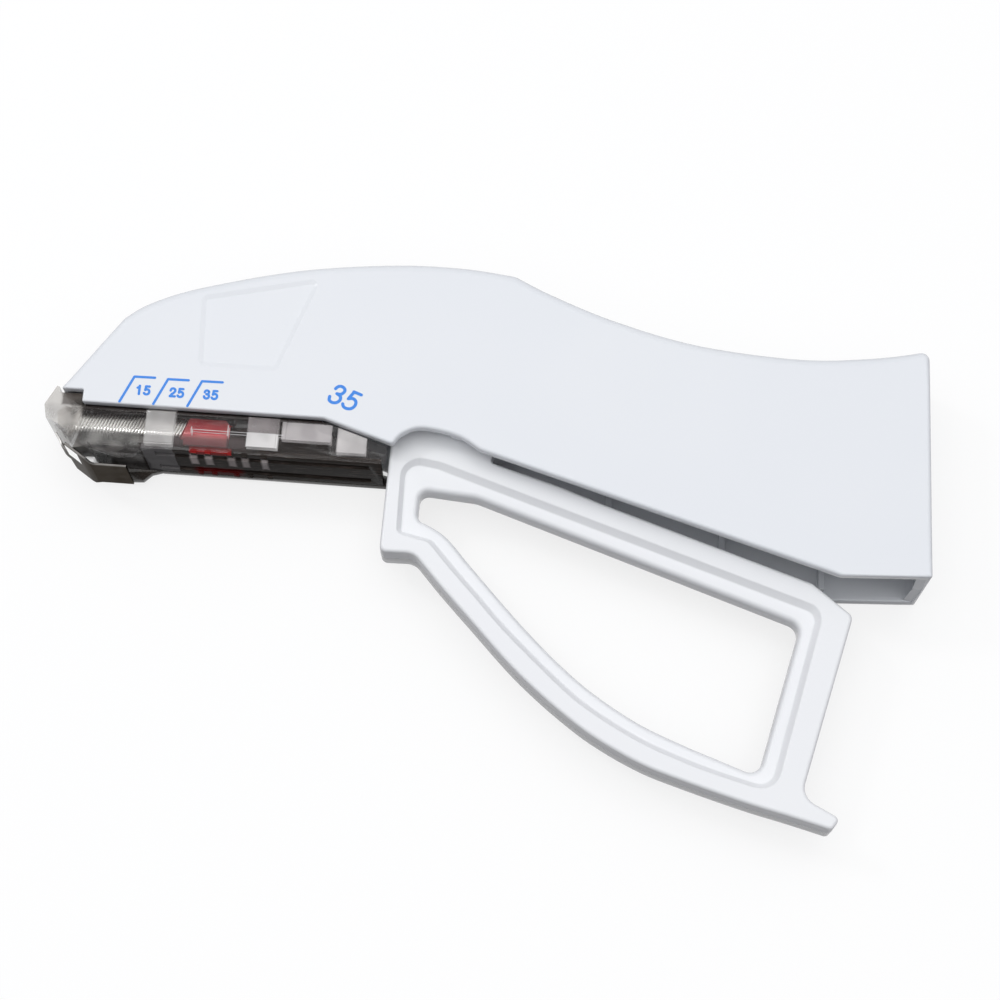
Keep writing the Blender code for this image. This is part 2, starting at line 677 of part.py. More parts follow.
def lever(paint):
    """Rocker with the lugs that carry the former."""
    origin = (LEVER_PIVOT[0], LEVER_PIVOT[1], MID)
    body = mid_prism("drive_lever", lever_outline(), LEVER_THICK, origin)
    join(body, mid_prism("lug_tool", circle(LEVER_TIP, LUG_RADIUS, 16), FORMER_WIDTH))
    for side in (1, -1):
        for pocket in BEAM_POCKETS:
            near = LEVER_THICK / 2 - BEAM_POCKET_DEPTH
            cut(body, side_prism("beam_pocket_tool", side, pocket, near, LEVER_THICK))
    eye = circle(LEVER_PIVOT, PIN_RADIUS + PIN_CLEARANCE)
    cut(body, mid_prism("lever_eye_tool", eye, LEVER_THICK + 2.0))
    drive = circle(DRIVE_PIN, DRIVE_PIN_RADIUS + PIN_CLEARANCE)
    cut(body, mid_prism("drive_eye_tool", drive, LEVER_THICK + 2.0))
    finish(body, paint)
    return body


def nose_inner_behind(along):
    """How far behind the first staple's plane the inside of the nose slope lies."""
    foot, top = offset_path([NOSE_FOOT, NOSE_TOP], NOSE_WALL - FORMER_GUIDE)
    steep = math.atan2(top[0] - foot[0], top[1] - foot[1]) - STAPLE_LEAN
    from_first = Vector(foot) - Vector(FIRST_STAPLE)
    foot_along = from_first.x * LEAN_SIN + from_first.y * LEAN_COS
    foot_behind = from_first.x * LEAN_COS - from_first.y * LEAN_SIN
    return foot_behind + (along - foot_along) * math.tan(steep)


def former(paint):
    """Former: leaned plate behind the nose slope with two slotted ears for the rocker."""
    front = -FORMER_THICK / 2
    top_front = nose_inner_behind(FORMER_TOP) + RUNNING_GAP
    plate = [leaned(FORMER_FOOT, front), leaned(FORMER_BEND, front),
             leaned(FORMER_TOP, top_front), leaned(FORMER_TOP, top_front + FORMER_THICK),
             leaned(FORMER_BEND, front + FORMER_THICK), leaned(FORMER_FOOT, front + FORMER_THICK)]
    body = mid_prism("former", plate, FORMER_WIDTH, (*leaned(FORMER_FOOT, 0.0), MID))
    share = (FORMER_EAR_LOW - FORMER_BEND) / (FORMER_TOP - FORMER_BEND)
    low_front = front + (top_front - front) * share
    ear_top = FORMER_TOP - FORMER_EAR_INSET
    reach = Vector(LEVER_TIP) - Vector(FIRST_STAPLE)
    tip_along = reach.x * LEAN_SIN + reach.y * LEAN_COS
    tip_behind = reach.x * LEAN_COS - reach.y * LEAN_SIN
    ear_rear = tip_behind + LUG_TRAVEL + LUG_RADIUS + FORMER_EAR_RIM
    ear = [leaned(FORMER_EAR_LOW, low_front + FORMER_EAR_BEHIND),
           leaned(ear_top, top_front + FORMER_EAR_BEHIND),
           leaned(ear_top, ear_rear), leaned(FORMER_EAR_LOW, ear_rear)]
    for side in (1, -1):
        outer = FORMER_WIDTH / 2 - FORMER_EAR_INSET
        join(body, side_prism("ear_tool", side, ear, outer - FORMER_EAR_THICK, outer))
    slot = stadium(LEVER_TIP, leaned(tip_along, tip_behind + LUG_TRAVEL), LUG_RADIUS + LUG_GAP, 6)
    cut(body, mid_prism("lug_slot_tool", slot, FORMER_WIDTH + 2.0))
    notch = [leaned(FORMER_FOOT - 1.0, -2.0), leaned(FORMER_FOOT + FORMER_NOTCH_HEIGHT, -2.0),
             leaned(FORMER_FOOT + FORMER_NOTCH_HEIGHT, 2.0), leaned(FORMER_FOOT - 1.0, 2.0)]
    cut(body, mid_prism("notch_tool", notch, FORMER_NOTCH_WIDTH))
    finish(body, paint)
    return body


def staple(name, index, paint):
    """One U-shaped staple, crown up, legs leaning forward."""
    half = STAPLE_WIDTH / 2 - STAPLE_WIRE
    shift = index * STAPLE_PITCH
    flat = arc((half - STAPLE_CORNER, -STAPLE_CORNER), STAPLE_CORNER, 90.0, 0.0, 2)
    side = [(x, y) for x, y in flat] + [(half, -STAPLE_LEG)]
    profile = [(-x, y) for x, y in side[::-1]] + side
    path = []
    for across, along in profile:
        path.append((*leaned(along, 0.0, shift), MID + across))
    origin = (FIRST_STAPLE[0] + shift, FIRST_STAPLE[1], MID)
    made = swept_wire(name, path, STAPLE_WIRE, 6, origin)
    finish(made, paint, 70.0)
    return made


def cover_outline():
    """Side outline of the clear cartridge cover with its faceted muzzle."""
    slope = (ARCH_FRONT[1] - CARTRIDGE_EDGE[1]) / (ARCH_FRONT[0] - CARTRIDGE_EDGE[0])
    under_edge = CARTRIDGE_EDGE[1] - RUNNING_GAP
    rear_top = under_edge + slope * (COVER_REAR - CARTRIDGE_EDGE[0])
    front = [(NOTCH[0] - RUNNING_GAP, NOTCH[1] - RUNNING_GAP),
             (NOSE_FOOT[0] - 0.2, NOSE_FOOT[1] - RUNNING_GAP)]
    foot = [(MUZZLE_REAR, COVER_FOOT), (COVER_REAR, COVER_FOOT), (COVER_REAR, rear_top)]
    roof = [(CARTRIDGE_EDGE[0], under_edge), (CARTRIDGE_EDGE[0] - ROOF_STEP, COVER_TOP),
            (NOTCH[0] + 0.5, COVER_TOP), (NOTCH[0] - RUNNING_GAP + 0.2, COVER_TOP - RUNNING_GAP)]
    return front + MUZZLE_TOP + MUZZLE_FRONT + MUZZLE_UNDER + foot + roof


def side_panels(shoulder, slope):
    """Raised pads and seams of the cover's sides, kept under the housing's edge."""
    panels = []
    for low_x, high_x in SIDE_PADS + SIDE_SEAMS:
        sunk = max(0.0, high_x - CARTRIDGE_EDGE[0]) * slope
        panels.append(box_outline(low_x, PAD_FOOT, high_x, shoulder - 0.1 + sunk))
    return panels


def cover(paint):
    """Clear cover: an inverted channel with the muzzle block and the staple throat."""
    body = mid_prism("cartridge_cover", cover_outline(), CARTRIDGE_WIDTH)
    tongue = CARTRIDGE_WIDTH / 2
    inside = HALF_CAVITY - RUNNING_GAP
    shoulder = CARTRIDGE_EDGE[1] - RUNNING_GAP
    rebate = box_outline(NOTCH[0] - 0.15, shoulder, 0.0, 5.0)
    for side in (1, -1):
        cut(body, side_prism("rebate_tool", side, rebate, inside, tongue + 1.0))
    half_room = CARTRIDGE_WIDTH / 2 - COVER_WALL
    roof = COVER_TOP - COVER_ROOF
    slope = (ARCH_FRONT[1] - CARTRIDGE_EDGE[1]) / (ARCH_FRONT[0] - CARTRIDGE_EDGE[0])
    sloped_roof = shoulder - COVER_WALL + slope * (COVER_REAR + 1.0 - CARTRIDGE_EDGE[0])
    room = [leaned(-14.0, 1.0), (COVER_REAR + 1.0, leaned(-14.0, 1.0)[1]),
            (COVER_REAR + 1.0, sloped_roof), (CARTRIDGE_EDGE[0] - 1.0, shoulder - COVER_WALL),
            (CARTRIDGE_EDGE[0] - 2.0, roof), leaned((roof - FIRST_STAPLE[1]) / LEAN_COS, 0.35)]
    cut(body, mid_prism("room_tool", room, 2 * half_room))
    throat_half = STAPLE_WIDTH / 2 + THROAT_GAP
    throat = [leaned(-14.0, -STAPLE_WIRE - THROAT_GAP), leaned(-14.0, 2.0), leaned(6.0, 2.0),
              leaned(6.0, -STAPLE_WIRE - THROAT_GAP)]
    cut(body, mid_prism("throat_tool", throat, 2 * throat_half))
    under = offset_path(ANVIL_OUTER, RUNNING_GAP)
    above = offset_path(ANVIL_OUTER, -ANVIL_THICK - RUNNING_GAP)
    seat = under + above[::-1]
    cut(body, mid_prism("anvil_seat_tool", seat, ANVIL_BASE_WIDTH + 2 * RUNNING_GAP))
    hollow = MUZZLE_ROOM + [leaned(MUZZLE_DEEP, -1.5), leaned(0.0, -1.5), MUZZLE_ROOM_TOP]
    cut(body, mid_prism("muzzle_tool", hollow, STAPLE_WIDTH + 2 * THROAT_GAP))
    for side in (1, -1):
        for panel in side_panels(shoulder, slope):
            join(body, side_prism("panel_tool", side, panel, tongue - WALL / 4, tongue + PAD_RAISE))
        ledge = box_outline(MUZZLE_REAR, COVER_FOOT, COVER_REAR, COVER_FOOT + LEDGE_HEIGHT)
        join(body, side_prism("ledge_tool", side, ledge, tongue - WALL / 4, tongue + LEDGE_RAISE))
    finish(body, paint)
    return body


def base(paint):
    """Clear base: floor, and the rail that the staples straddle, slotted for the spring."""
    floor_half = CARTRIDGE_WIDTH / 2 - COVER_WALL - RUNNING_GAP
    floor_top = COVER_FOOT + BASE_FLOOR
    front = leaned(-6.4, 1.6)
    rear = COVER_REAR - 0.8
    floor = [(front[0] + 3.5, COVER_FOOT), (rear, COVER_FOOT), (rear, floor_top),
             (front[0] + 2.4, floor_top)]
    body = mid_prism("cartridge_base", floor, 2 * floor_half)
    rail_front_top = leaned((RAIL_TOP - FIRST_STAPLE[1]) / LEAN_COS, 1.2)
    rail_front_low = leaned(-6.6, 1.2)
    rail = [rail_front_low, (rail_front_low[0] + 2.0, floor_top - 0.4), (RAIL_END, floor_top - 0.4),
            (RAIL_END, RAIL_REAR_TOP), (RAIL_END - 4.0, RAIL_TOP), rail_front_top]
    join(body, mid_prism("rail_tool", rail, RAIL_WIDTH))
    slot = box_outline(rail_front_top[0] + 3.0, floor_top + 0.4, RAIL_END + 1.0, 2.0)
    cut(body, mid_prism("rail_slot_tool", slot, RAIL_SLOT))
    groove = box_outline(MUZZLE_REAR, COVER_FOOT - 1.0, COVER_REAR - 3.0, COVER_FOOT + UNDER_GROOVE_DEPTH)
    length, drop, across = UNDER_LUG
    for side in (1, -1):
        cut(body, side_prism("groove_tool", side, groove, *UNDER_GROOVE))
        for x in UNDER_LUGS:
            lug = box_outline(x - length / 2, COVER_FOOT - drop, x + length / 2, COVER_FOOT + drop)
            lug_side = floor_half - 0.2
            join(body, side_prism("under_lug_tool", side, lug, lug_side - across, lug_side))
    finish(body, paint)
    return body


def follower(paint):
    """Red follower: a saddle on the rail with a tongue in the slot."""
    last = (STAPLE_COUNT - 1) * STAPLE_PITCH
    behind = STAPLE_WIRE + FOLLOWER_GAP
    top_front = leaned(FOLLOWER_RISE, behind, last)
    top_y = top_front[1]
    foot_along = (FOLLOWER_FOOT - FIRST_STAPLE[1] + behind * LEAN_SIN) / LEAN_COS
    foot_front = leaned(foot_along, behind, last)
    rear_x = top_front[0] + FOLLOWER_LENGTH
    outline = [foot_front, (rear_x, FOLLOWER_FOOT), (rear_x, top_y - FOLLOWER_CHAMFER[1]),
               (rear_x - FOLLOWER_CHAMFER[0], top_y), top_front]
    origin = (top_front[0], SPRING_AXIS_Y, MID)
    body = mid_prism("follower", outline, FOLLOWER_WIDTH, origin)
    saddle = box_outline(foot_front[0] - 5.0, FOLLOWER_FOOT - 3.0, rear_x + 2.0,
                         RAIL_TOP + RUNNING_GAP)
    cut(body, mid_prism("saddle_tool", saddle, RAIL_WIDTH + 2 * RUNNING_GAP))
    shoe = box_outline(foot_front[0] + 1.0, FOLLOWER_SHOE_FOOT, rear_x, FOLLOWER_FOOT + 0.6)
    for side in (1, -1):
        inner = RAIL_WIDTH / 2 + RUNNING_GAP
        join(body, side_prism("shoe_tool", side, shoe, inner, FOLLOWER_SHOE_HALF))
    tongue_foot = SPRING_AXIS_Y - FOLLOWER_SPRING_RADIUS - 0.1
    tongue = box_outline(rear_x - FOLLOWER_TONGUE, tongue_foot, rear_x, RAIL_TOP + 0.6)
    join(body, mid_prism("tongue_tool", tongue, RAIL_SLOT - 2 * RUNNING_GAP))
    finish(body, paint)
    return body, rear_x


def end_cap(paint):
    """Clear wedge that closes the rear of the cartridge and stops the spring."""
    slope = (ARCH_FRONT[1] - CARTRIDGE_EDGE[1]) / (ARCH_FRONT[0] - CARTRIDGE_EDGE[0])
    roof = CARTRIDGE_EDGE[1] - 2 * RUNNING_GAP - COVER_WALL
    front = RAIL_END + RUNNING_GAP
    rear = COVER_REAR - 1.2
    low = COVER_FOOT + BASE_FLOOR + RUNNING_GAP
    outline = [(front, low), (rear, low), (rear, roof + slope * (rear - CARTRIDGE_EDGE[0]) + 0.1),
               (front, roof + slope * (front - CARTRIDGE_EDGE[0]))]
    half = CARTRIDGE_WIDTH / 2 - COVER_WALL - RUNNING_GAP
    body = mid_prism("cartridge_end_cap", outline, 2 * half)
    finish(body, paint)
    return body


def anvil(paint):
    """Bent steel anvil: a wide base under the muzzle and a narrow tongue up its slope."""
    inner = offset_path(ANVIL_OUTER, -ANVIL_THICK)
    outline = ANVIL_OUTER + inner[::-1]
    body = mid_prism("anvil", outline, ANVIL_BASE_WIDTH)
    lip = ANVIL_TONGUE_WIDTH / 2
    trim = box_outline(ANVIL_OUTER[0][0] - 3.0, ANVIL_OUTER[-1][1] - 3.0, ANVIL_TONGUE_END, 0.0)
    for side in (1, -1):
        cut(body, side_prism("lip_tool", side, trim, lip, ANVIL_BASE_WIDTH))
    finish(body, paint)
    return body


def ejector(paint):
    """Leaf that lifts the closed staple off the anvil."""
    half = EJECTOR_THICK / 2
    outline = [leaned(EJECTOR_FOOT, EJECTOR_OFFSET - half),
               leaned(EJECTOR_FOOT, EJECTOR_OFFSET + half),
               leaned(EJECTOR_TOP, EJECTOR_OFFSET + half),
               leaned(EJECTOR_TOP, EJECTOR_OFFSET - half)]
    body = mid_prism("ejector_spring", outline, EJECTOR_WIDTH)
    finish(body, paint)
    return body


def build():
    """Make every piece of the stapler."""
    clear_scene()
    white = material("white_gloss", (0.86, 0.88, 0.90), 0.22)
    trigger_white = material("white_trigger", (0.86, 0.88, 0.91), 0.25)
    nylon = material("grey_nylon", (0.62, 0.64, 0.66), 0.5)
    clear = material("clear_plastic", (0.88, 0.88, 0.86), 0.08, alpha=0.35)
    red = material("red_follower", (0.62, 0.04, 0.05), 0.3)
    steel = material("stainless_steel", (0.62, 0.62, 0.62), 0.25, metallic=1.0)

    shell("right_housing", 1, white)
    shell("left_housing", -1, white)
    trigger(trigger_white)
    pin_width = WIDTH - 2 * PIN_END_SKIN - 2 * RUNNING_GAP
    pin("trigger_pin", (0.0, 0.0), PIN_RADIUS, pin_width, steel)
    pin("lever_pin", LEVER_PIVOT, PIN_RADIUS, pin_width, steel)
    pin("drive_pin", DRIVE_PIN, DRIVE_PIN_RADIUS, TRIGGER_THICK, steel)
    lever(nylon)
    former(steel)
    for index in range(STAPLE_COUNT):
        staple(f"staple_{index + 1:02d}", index, steel)
    cover(clear)
    base(clear)
    rear_x = follower(red)[1]
    end_cap(clear)
    anvil(steel)
    ejector(steel)

    spring_start = (rear_x + RUNNING_GAP, SPRING_AXIS_Y, MID)
    spring_end = (RAIL_END - 0.1, SPRING_AXIS_Y, MID)
    path = coil_path(spring_start, spring_end, FOLLOWER_SPRING_RADIUS, FOLLOWER_SPRING_TURNS, 9)
    finish(swept_wire("follower_spring", path, FOLLOWER_SPRING_WIRE, 5), steel, 80.0)

    pad_y = RETURN_PAD_Y + RETURN_SPRING_WIRE + RUNNING_GAP
    seat_y = SEAT_Y - RETURN_SPRING_WIRE - RUNNING_GAP
    path = coil_path((RETURN_SPRING_X, pad_y, MID), (RETURN_SPRING_X, seat_y, MID),
                     RETURN_SPRING_RADIUS, RETURN_SPRING_TURNS, 12)
    finish(swept_wire("return_spring", path, RETURN_SPRING_WIRE, 6), steel, 80.0)


build()
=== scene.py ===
"""Looks of the skin stapler: fine surfaces, finishes, prints, light and camera.

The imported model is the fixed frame. Lengths are in millimetres of that frame until a mesh is
made: X runs along the cartridge, Y towards the housing's back, Z through the thickness.
"""

import logging
import math
from collections.abc import Sequence
from dataclasses import dataclass, field
from enum import Enum

import bmesh
import bpy
import numpy as np
from mathutils import Matrix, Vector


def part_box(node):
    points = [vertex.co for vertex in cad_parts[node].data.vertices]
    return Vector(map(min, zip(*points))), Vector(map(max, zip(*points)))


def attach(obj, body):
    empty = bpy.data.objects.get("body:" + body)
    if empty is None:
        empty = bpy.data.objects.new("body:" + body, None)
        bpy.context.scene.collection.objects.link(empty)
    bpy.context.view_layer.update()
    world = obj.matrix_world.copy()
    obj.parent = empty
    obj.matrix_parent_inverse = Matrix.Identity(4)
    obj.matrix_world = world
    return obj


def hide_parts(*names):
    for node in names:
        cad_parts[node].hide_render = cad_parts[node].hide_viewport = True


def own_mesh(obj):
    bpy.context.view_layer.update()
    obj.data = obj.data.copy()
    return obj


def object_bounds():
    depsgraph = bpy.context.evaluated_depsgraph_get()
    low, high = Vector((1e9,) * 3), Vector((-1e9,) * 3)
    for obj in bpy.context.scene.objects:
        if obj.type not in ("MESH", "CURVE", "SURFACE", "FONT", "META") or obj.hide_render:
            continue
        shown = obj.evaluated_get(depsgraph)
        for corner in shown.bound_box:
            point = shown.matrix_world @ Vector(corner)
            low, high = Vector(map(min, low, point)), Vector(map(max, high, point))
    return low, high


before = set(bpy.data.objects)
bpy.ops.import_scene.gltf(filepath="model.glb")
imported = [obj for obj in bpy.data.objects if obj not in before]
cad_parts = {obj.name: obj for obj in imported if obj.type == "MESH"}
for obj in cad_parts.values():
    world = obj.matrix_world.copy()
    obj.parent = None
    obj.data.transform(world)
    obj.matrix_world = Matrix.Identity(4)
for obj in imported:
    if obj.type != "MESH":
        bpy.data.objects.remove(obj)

CAD_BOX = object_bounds()
LOG = logging.getLogger("stapler")

MM = 0.001
WIDTH = 18.0
MID = WIDTH / 2
WELD = 2e-6
FLAT = 0.05
COPLANAR = math.radians(0.5)
CREASE = math.radians(25.0)
STAPLE_LEAN = math.radians(18.0)
FIRST_STAPLE = (-68.2, -2.5)
TRIGGER_PIVOT = (0.0, 0.0)
ROCKER_PIVOT = (-7.5, 14.0)
WHITE = (1.0, 1.0, 1.0, 1.0)

Point = tuple[float, float]
Colour = tuple[float, float, float]


class Body(Enum):
    """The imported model's bodies that pieces ride on."""

    HOUSING = "housing"
    TRIGGER = "trigger"
    ROCKER = "drive_lever"
    FORMER = "former"
    FIRST_STAPLE = "first_staple"
    FOLLOWER = "follower"


class Slot(Enum):
    """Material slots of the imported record."""

    HOUSING = "housing_white"
    TRIGGER = "trigger_white"
    NYLON = "nylon"
    CLEAR = "clear_plastic"
    RED = "red_plastic"
    STEEL = "steel"
    STAPLE = "staple_steel"


class Wire:
    """A shader socket that takes part in Python arithmetic."""

    def __init__(self, sheet: "Sheet", socket: bpy.types.NodeSocket) -> None:
        """Keep the socket and the sheet it belongs to."""
        self.sheet = sheet
        self.socket = socket

    def _math(self, operation: str, *values: "float | Wire") -> "Wire":
        """Math node of one operation on the given values."""
        return self.sheet.node("ShaderNodeMath", {"operation": operation}, dict(enumerate(values)))

    def __add__(self, other: "float | Wire") -> "Wire":
        """Sum."""
        return self._math("ADD", self, other)

    def __sub__(self, other: "float | Wire") -> "Wire":
        """Difference."""
        return self._math("SUBTRACT", self, other)

    def __rsub__(self, other: "float | Wire") -> "Wire":
        """Difference from a number."""
        return self._math("SUBTRACT", other, self)

    def __mul__(self, other: "float | Wire") -> "Wire":
        """Product."""
        return self._math("MULTIPLY", self, other)

    __radd__ = __add__
    __rmul__ = __mul__

    def least(self, other: "float | Wire") -> "Wire":
        """The smaller of two."""
        return self._math("MINIMUM", self, other)

    def most(self, other: "float | Wire") -> "Wire":
        """The larger of two."""
        return self._math("MAXIMUM", self, other)

    def ramp(self, low: float, high: float) -> "Wire":
        """Smooth step from 0 at low to 1 at high."""
        inputs = {"Value": self, "From Min": low, "From Max": high}
        return self.sheet.node("ShaderNodeMapRange", {"interpolation_type": "SMOOTHSTEP"}, inputs)


class Sheet:
    """Node tree of one material or of the world."""

    def __init__(self, tree: bpy.types.NodeTree) -> None:
        """Empty the tree."""
        self.tree = tree
        tree.nodes.clear()

    def node(self, kind: str, settings: dict, inputs: dict, output: int | str = 0) -> Wire:
        """Add a node.

        Args:
            kind: The node's type.
            settings: Properties, set first.
            inputs: Values or wires by socket name or number.
            output: The socket to hand back.

        Returns:
            The chosen output.
        """
        made = self.tree.nodes.new(kind)
        for name, value in settings.items():
            setattr(made, name, value)
        for name, value in inputs.items():
            if isinstance(value, Wire):
                self.tree.links.new(value.socket, made.inputs[name])
            else:
                made.inputs[name].default_value = value
        return Wire(self, made.outputs[output] if len(made.outputs) else None)

    def place(self) -> Wire:
        """Object coordinates, in metres."""
        return self.node("ShaderNodeTexCoord", {}, {}, "Object")

    def axes(self) -> tuple[Wire, Wire, Wire]:
        """Object coordinates as three numbers in millimetres."""
        split = self.node("ShaderNodeSeparateXYZ", {}, {0: self.place()}).socket.node
        return tuple(Wire(self, split.outputs[k]) * (1.0 / MM) for k in range(3))

    def noise(self, per_mm: float, detail: float = 2.0) -> Wire:
        """Noise from 0 to 1 with so many cells to the millimetre."""
        inputs = {"Vector": self.place(), "Scale": per_mm / MM, "Detail": detail}
        return self.node("ShaderNodeTexNoise", {}, inputs)

    def grain(self, per_mm: tuple[float, float, float]) -> Wire:
        """Noise stretched differently along the three axes.

        Args:
            per_mm: Cells to the millimetre along X, Y and Z.

        Returns:
            The noise, from 0 to 1.
        """
        scale = tuple(value / MM for value in per_mm)
        stretched = self.node("ShaderNodeMapping", {}, {"Vector": self.place(), "Scale": scale})
        inputs = {"Vector": stretched, "Scale": 1.0, "Detail": 3.0}
        return self.node("ShaderNodeTexNoise", {}, inputs)

    def blend(self, share: "float | Wire", first: "Colour | Wire",
              second: "Colour | Wire") -> Wire:
        """Colour between two.

        Args:
            share: 0 for the first colour, 1 for the second.
            first: A colour or a wire.
            second: A colour or a wire.

        Returns:
            The mixed colour.
        """
        pair = [value if isinstance(value, Wire) else (*value, 1.0) for value in (first, second)]
        inputs = {0: share, 6: pair[0], 7: pair[1]}
        return self.node("ShaderNodeMix", {"data_type": "RGBA"}, inputs, 2)

    def bump(self, height: Wire, depth_mm: float, strength: float = 1.0) -> Wire:
        """Normal of a height that runs from 0 to 1."""
        inputs = {"Height": height, "Distance": depth_mm * MM, "Strength": strength}
        return self.node("ShaderNodeBump", {}, inputs)

    def surface(self, shader: Wire) -> None:
        """Connect the material's surface."""
        self.node("ShaderNodeOutputMaterial", {}, {"Surface": shader})


@dataclass(frozen=True)
class Patch:
    """Box in the object's millimetres inside which a finish takes another colour."""

    low: tuple[float, float, float]
    high: tuple[float, float, float]
    colour: Colour
    cover: float = 1.0
    edge: float = 0.12
    mottle: float = 0.82

    def mask(self, axes: tuple[Wire, Wire, Wire]) -> Wire:
        """1 inside the box and 0 outside: a smooth step of the distance to its nearest side.

        Args:
            axes: Object coordinates in millimetres.

        Returns:
            The mask.
        """
        inside = (axes[0] - self.low[0]).least(self.high[0] - axes[0])
        for k in (1, 2):
            inside = inside.least(axes[k] - self.low[k]).least(self.high[k] - axes[k])
        return inside.ramp(-self.edge, self.edge)


def through(low: Point, high: Point, colour: Colour, cover: float, edge: float = 0.12,
            mottle: float = 0.82) -> Patch:
    """Patch that runs through the whole thickness."""
    return Patch((*low, -1.0), (*high, WIDTH + 1.0), colour, cover, edge, mottle)


@dataclass(frozen=True)
class Finish:
    """A named finish. Subclasses say how it is painted."""

    name: str
    colour: Colour
    roughness: float

    def paint(self, sheet: Sheet) -> None:
        """Build the nodes."""
        raise NotImplementedError

    def material(self) -> bpy.types.Material:
        """Make the finish's material once.

        Returns:
            The material, the same one at each call.
        """
        made = bpy.data.materials.get(self.name)
        if made is None:
            made = bpy.data.materials.new(self.name)
            made.use_nodes = True
            self.paint(Sheet(made.node_tree))
            made.diffuse_color = (*self.colour, 1.0)
        return made


@dataclass(frozen=True)
class MouldedPlastic(Finish):
    """Opaque moulded plastic: faint flow tint, fine mould texture, uneven gloss."""

    shade: Colour = (0.78, 0.80, 0.83)
    texture_per_mm: float = 2.2
    texture_depth: float = 0.004
    flow_per_mm: float = 0.03
    coat: float = 0.0
    shine: float = 0.28

    def paint(self, sheet: Sheet) -> None:
        """Colour drifts between two tints; the texture drives gloss and bump.

        Args:
            sheet: The material's nodes.
        """
        flow = sheet.noise(self.flow_per_mm, 1.0).ramp(0.35, 0.65)
        pores = sheet.noise(self.texture_per_mm, 3.0)
        smears = sheet.noise(0.12, 2.0).ramp(0.4, 0.75)
        normal = sheet.bump(pores, self.texture_depth, 0.35)
        shader = sheet.node("ShaderNodeBsdfPrincipled", {}, {
            "Base Color": sheet.blend(flow, self.colour, self.shade),
            "Roughness": self.roughness + 0.05 * smears + 0.03 * pores,
            "Coat Weight": self.coat,
            "Coat Roughness": 0.05,
            "IOR": 1.52,
            "Specular IOR Level": self.shine,
            "Normal": normal,
        })
        sheet.surface(shader)


@dataclass(frozen=True)
class ClearPlastic(Finish):
    """Clear moulded plastic, tinted by its depth, with flow lines and brighter rims."""

    body: float = 0.22
    rim: float = 0.5
    streak: Colour = (0.5, 0.49, 0.47)
    streak_share: float = 0.3
    gloss: float = 0.25
    shine: float = 0.15
    patches: tuple[Patch, ...] = ()

    def paint(self, sheet: Sheet) -> None:
        """Alpha is the plastic's tint; it rises at grazing angles, in the streaks and patches.

        Args:
            sheet: The material's nodes.
        """
        streaks = sheet.grain((0.25, 1.6, 1.6)).ramp(0.5, 0.72)
        ripple = sheet.noise(0.9, 2.0)
        graze = sheet.node("ShaderNodeLayerWeight", {}, {"Blend": 0.35}, "Facing")
        colour = sheet.blend(streaks * self.streak_share, self.colour, self.streak)
        cover = self.body + self.rim * graze * graze + 0.1 * streaks
        axes = sheet.axes() if self.patches else None
        drift = sheet.noise(0.3, 0.5).ramp(0.35, 0.65)
        for patch in self.patches:
            mask = patch.mask(axes)
            tone = tuple(value * patch.mottle for value in patch.colour)
            colour = sheet.blend(mask, colour, sheet.blend(drift, patch.colour, tone))
            cover = cover + mask * (patch.cover - cover)
        shader = sheet.node("ShaderNodeBsdfPrincipled", {}, {
            "Base Color": colour,
            "Roughness": self.roughness + 0.06 * ripple,
            "IOR": 1.58,
            "Specular IOR Level": self.shine,
            "Coat Weight": self.gloss,
            "Coat Roughness": 0.03,
            "Alpha": cover.least(1.0),
            "Normal": sheet.bump(ripple, 0.02, 0.5),
        })
        sheet.surface(shader)


@dataclass(frozen=True)
class Steel(Finish):
    """Stainless steel with grain along one direction and small tone changes."""

    dark: Colour = (0.34, 0.34, 0.35)
    grain_per_mm: tuple[float, float, float] = (0.4, 9.0, 0.4)
    wear: float = 0.4
    graze: Colour = (1.0, 1.0, 1.0)
    patches: tuple[Patch, ...] = ()

    def paint(self, sheet: Sheet) -> None:
        """Grain drives tone, gloss and bump.

        Args:
            sheet: The material's nodes.
        """
        lines = sheet.grain(self.grain_per_mm)
        clouds = sheet.noise(0.5, 3.0).ramp(0.35, 0.7)
        colour = sheet.blend(lines * self.wear * clouds, self.colour, self.dark)
        axes = sheet.axes() if self.patches else None
        for patch in self.patches:
            colour = sheet.blend(patch.mask(axes), colour, patch.colour)
        shader = sheet.node("ShaderNodeBsdfPrincipled", {}, {
            "Base Color": colour,
            "Metallic": 1.0,
            "Specular Tint": (*self.graze, 1.0),
            "Roughness": self.roughness + 0.12 * lines,
            "Normal": sheet.bump(lines, 0.006, 0.4),
        })
        sheet.surface(shader)


@dataclass(frozen=True)
class Ink(Finish):
    """Pad-printed ink: slightly uneven cover and a matter surface than the plastic."""

    def paint(self, sheet: Sheet) -> None:
        """The cover varies a little in tone.

        Args:
            sheet: The material's nodes.
        """
        cover = sheet.noise(3.0, 3.0).ramp(0.3, 0.7)
        pale = tuple(min(1.0, value * 1.12 + 0.01) for value in self.colour)
        shader = sheet.node("ShaderNodeBsdfPrincipled", {}, {
            "Base Color": sheet.blend(cover, self.colour, pale),
            "Roughness": self.roughness + 0.1 * cover,
        })
        sheet.surface(shader)


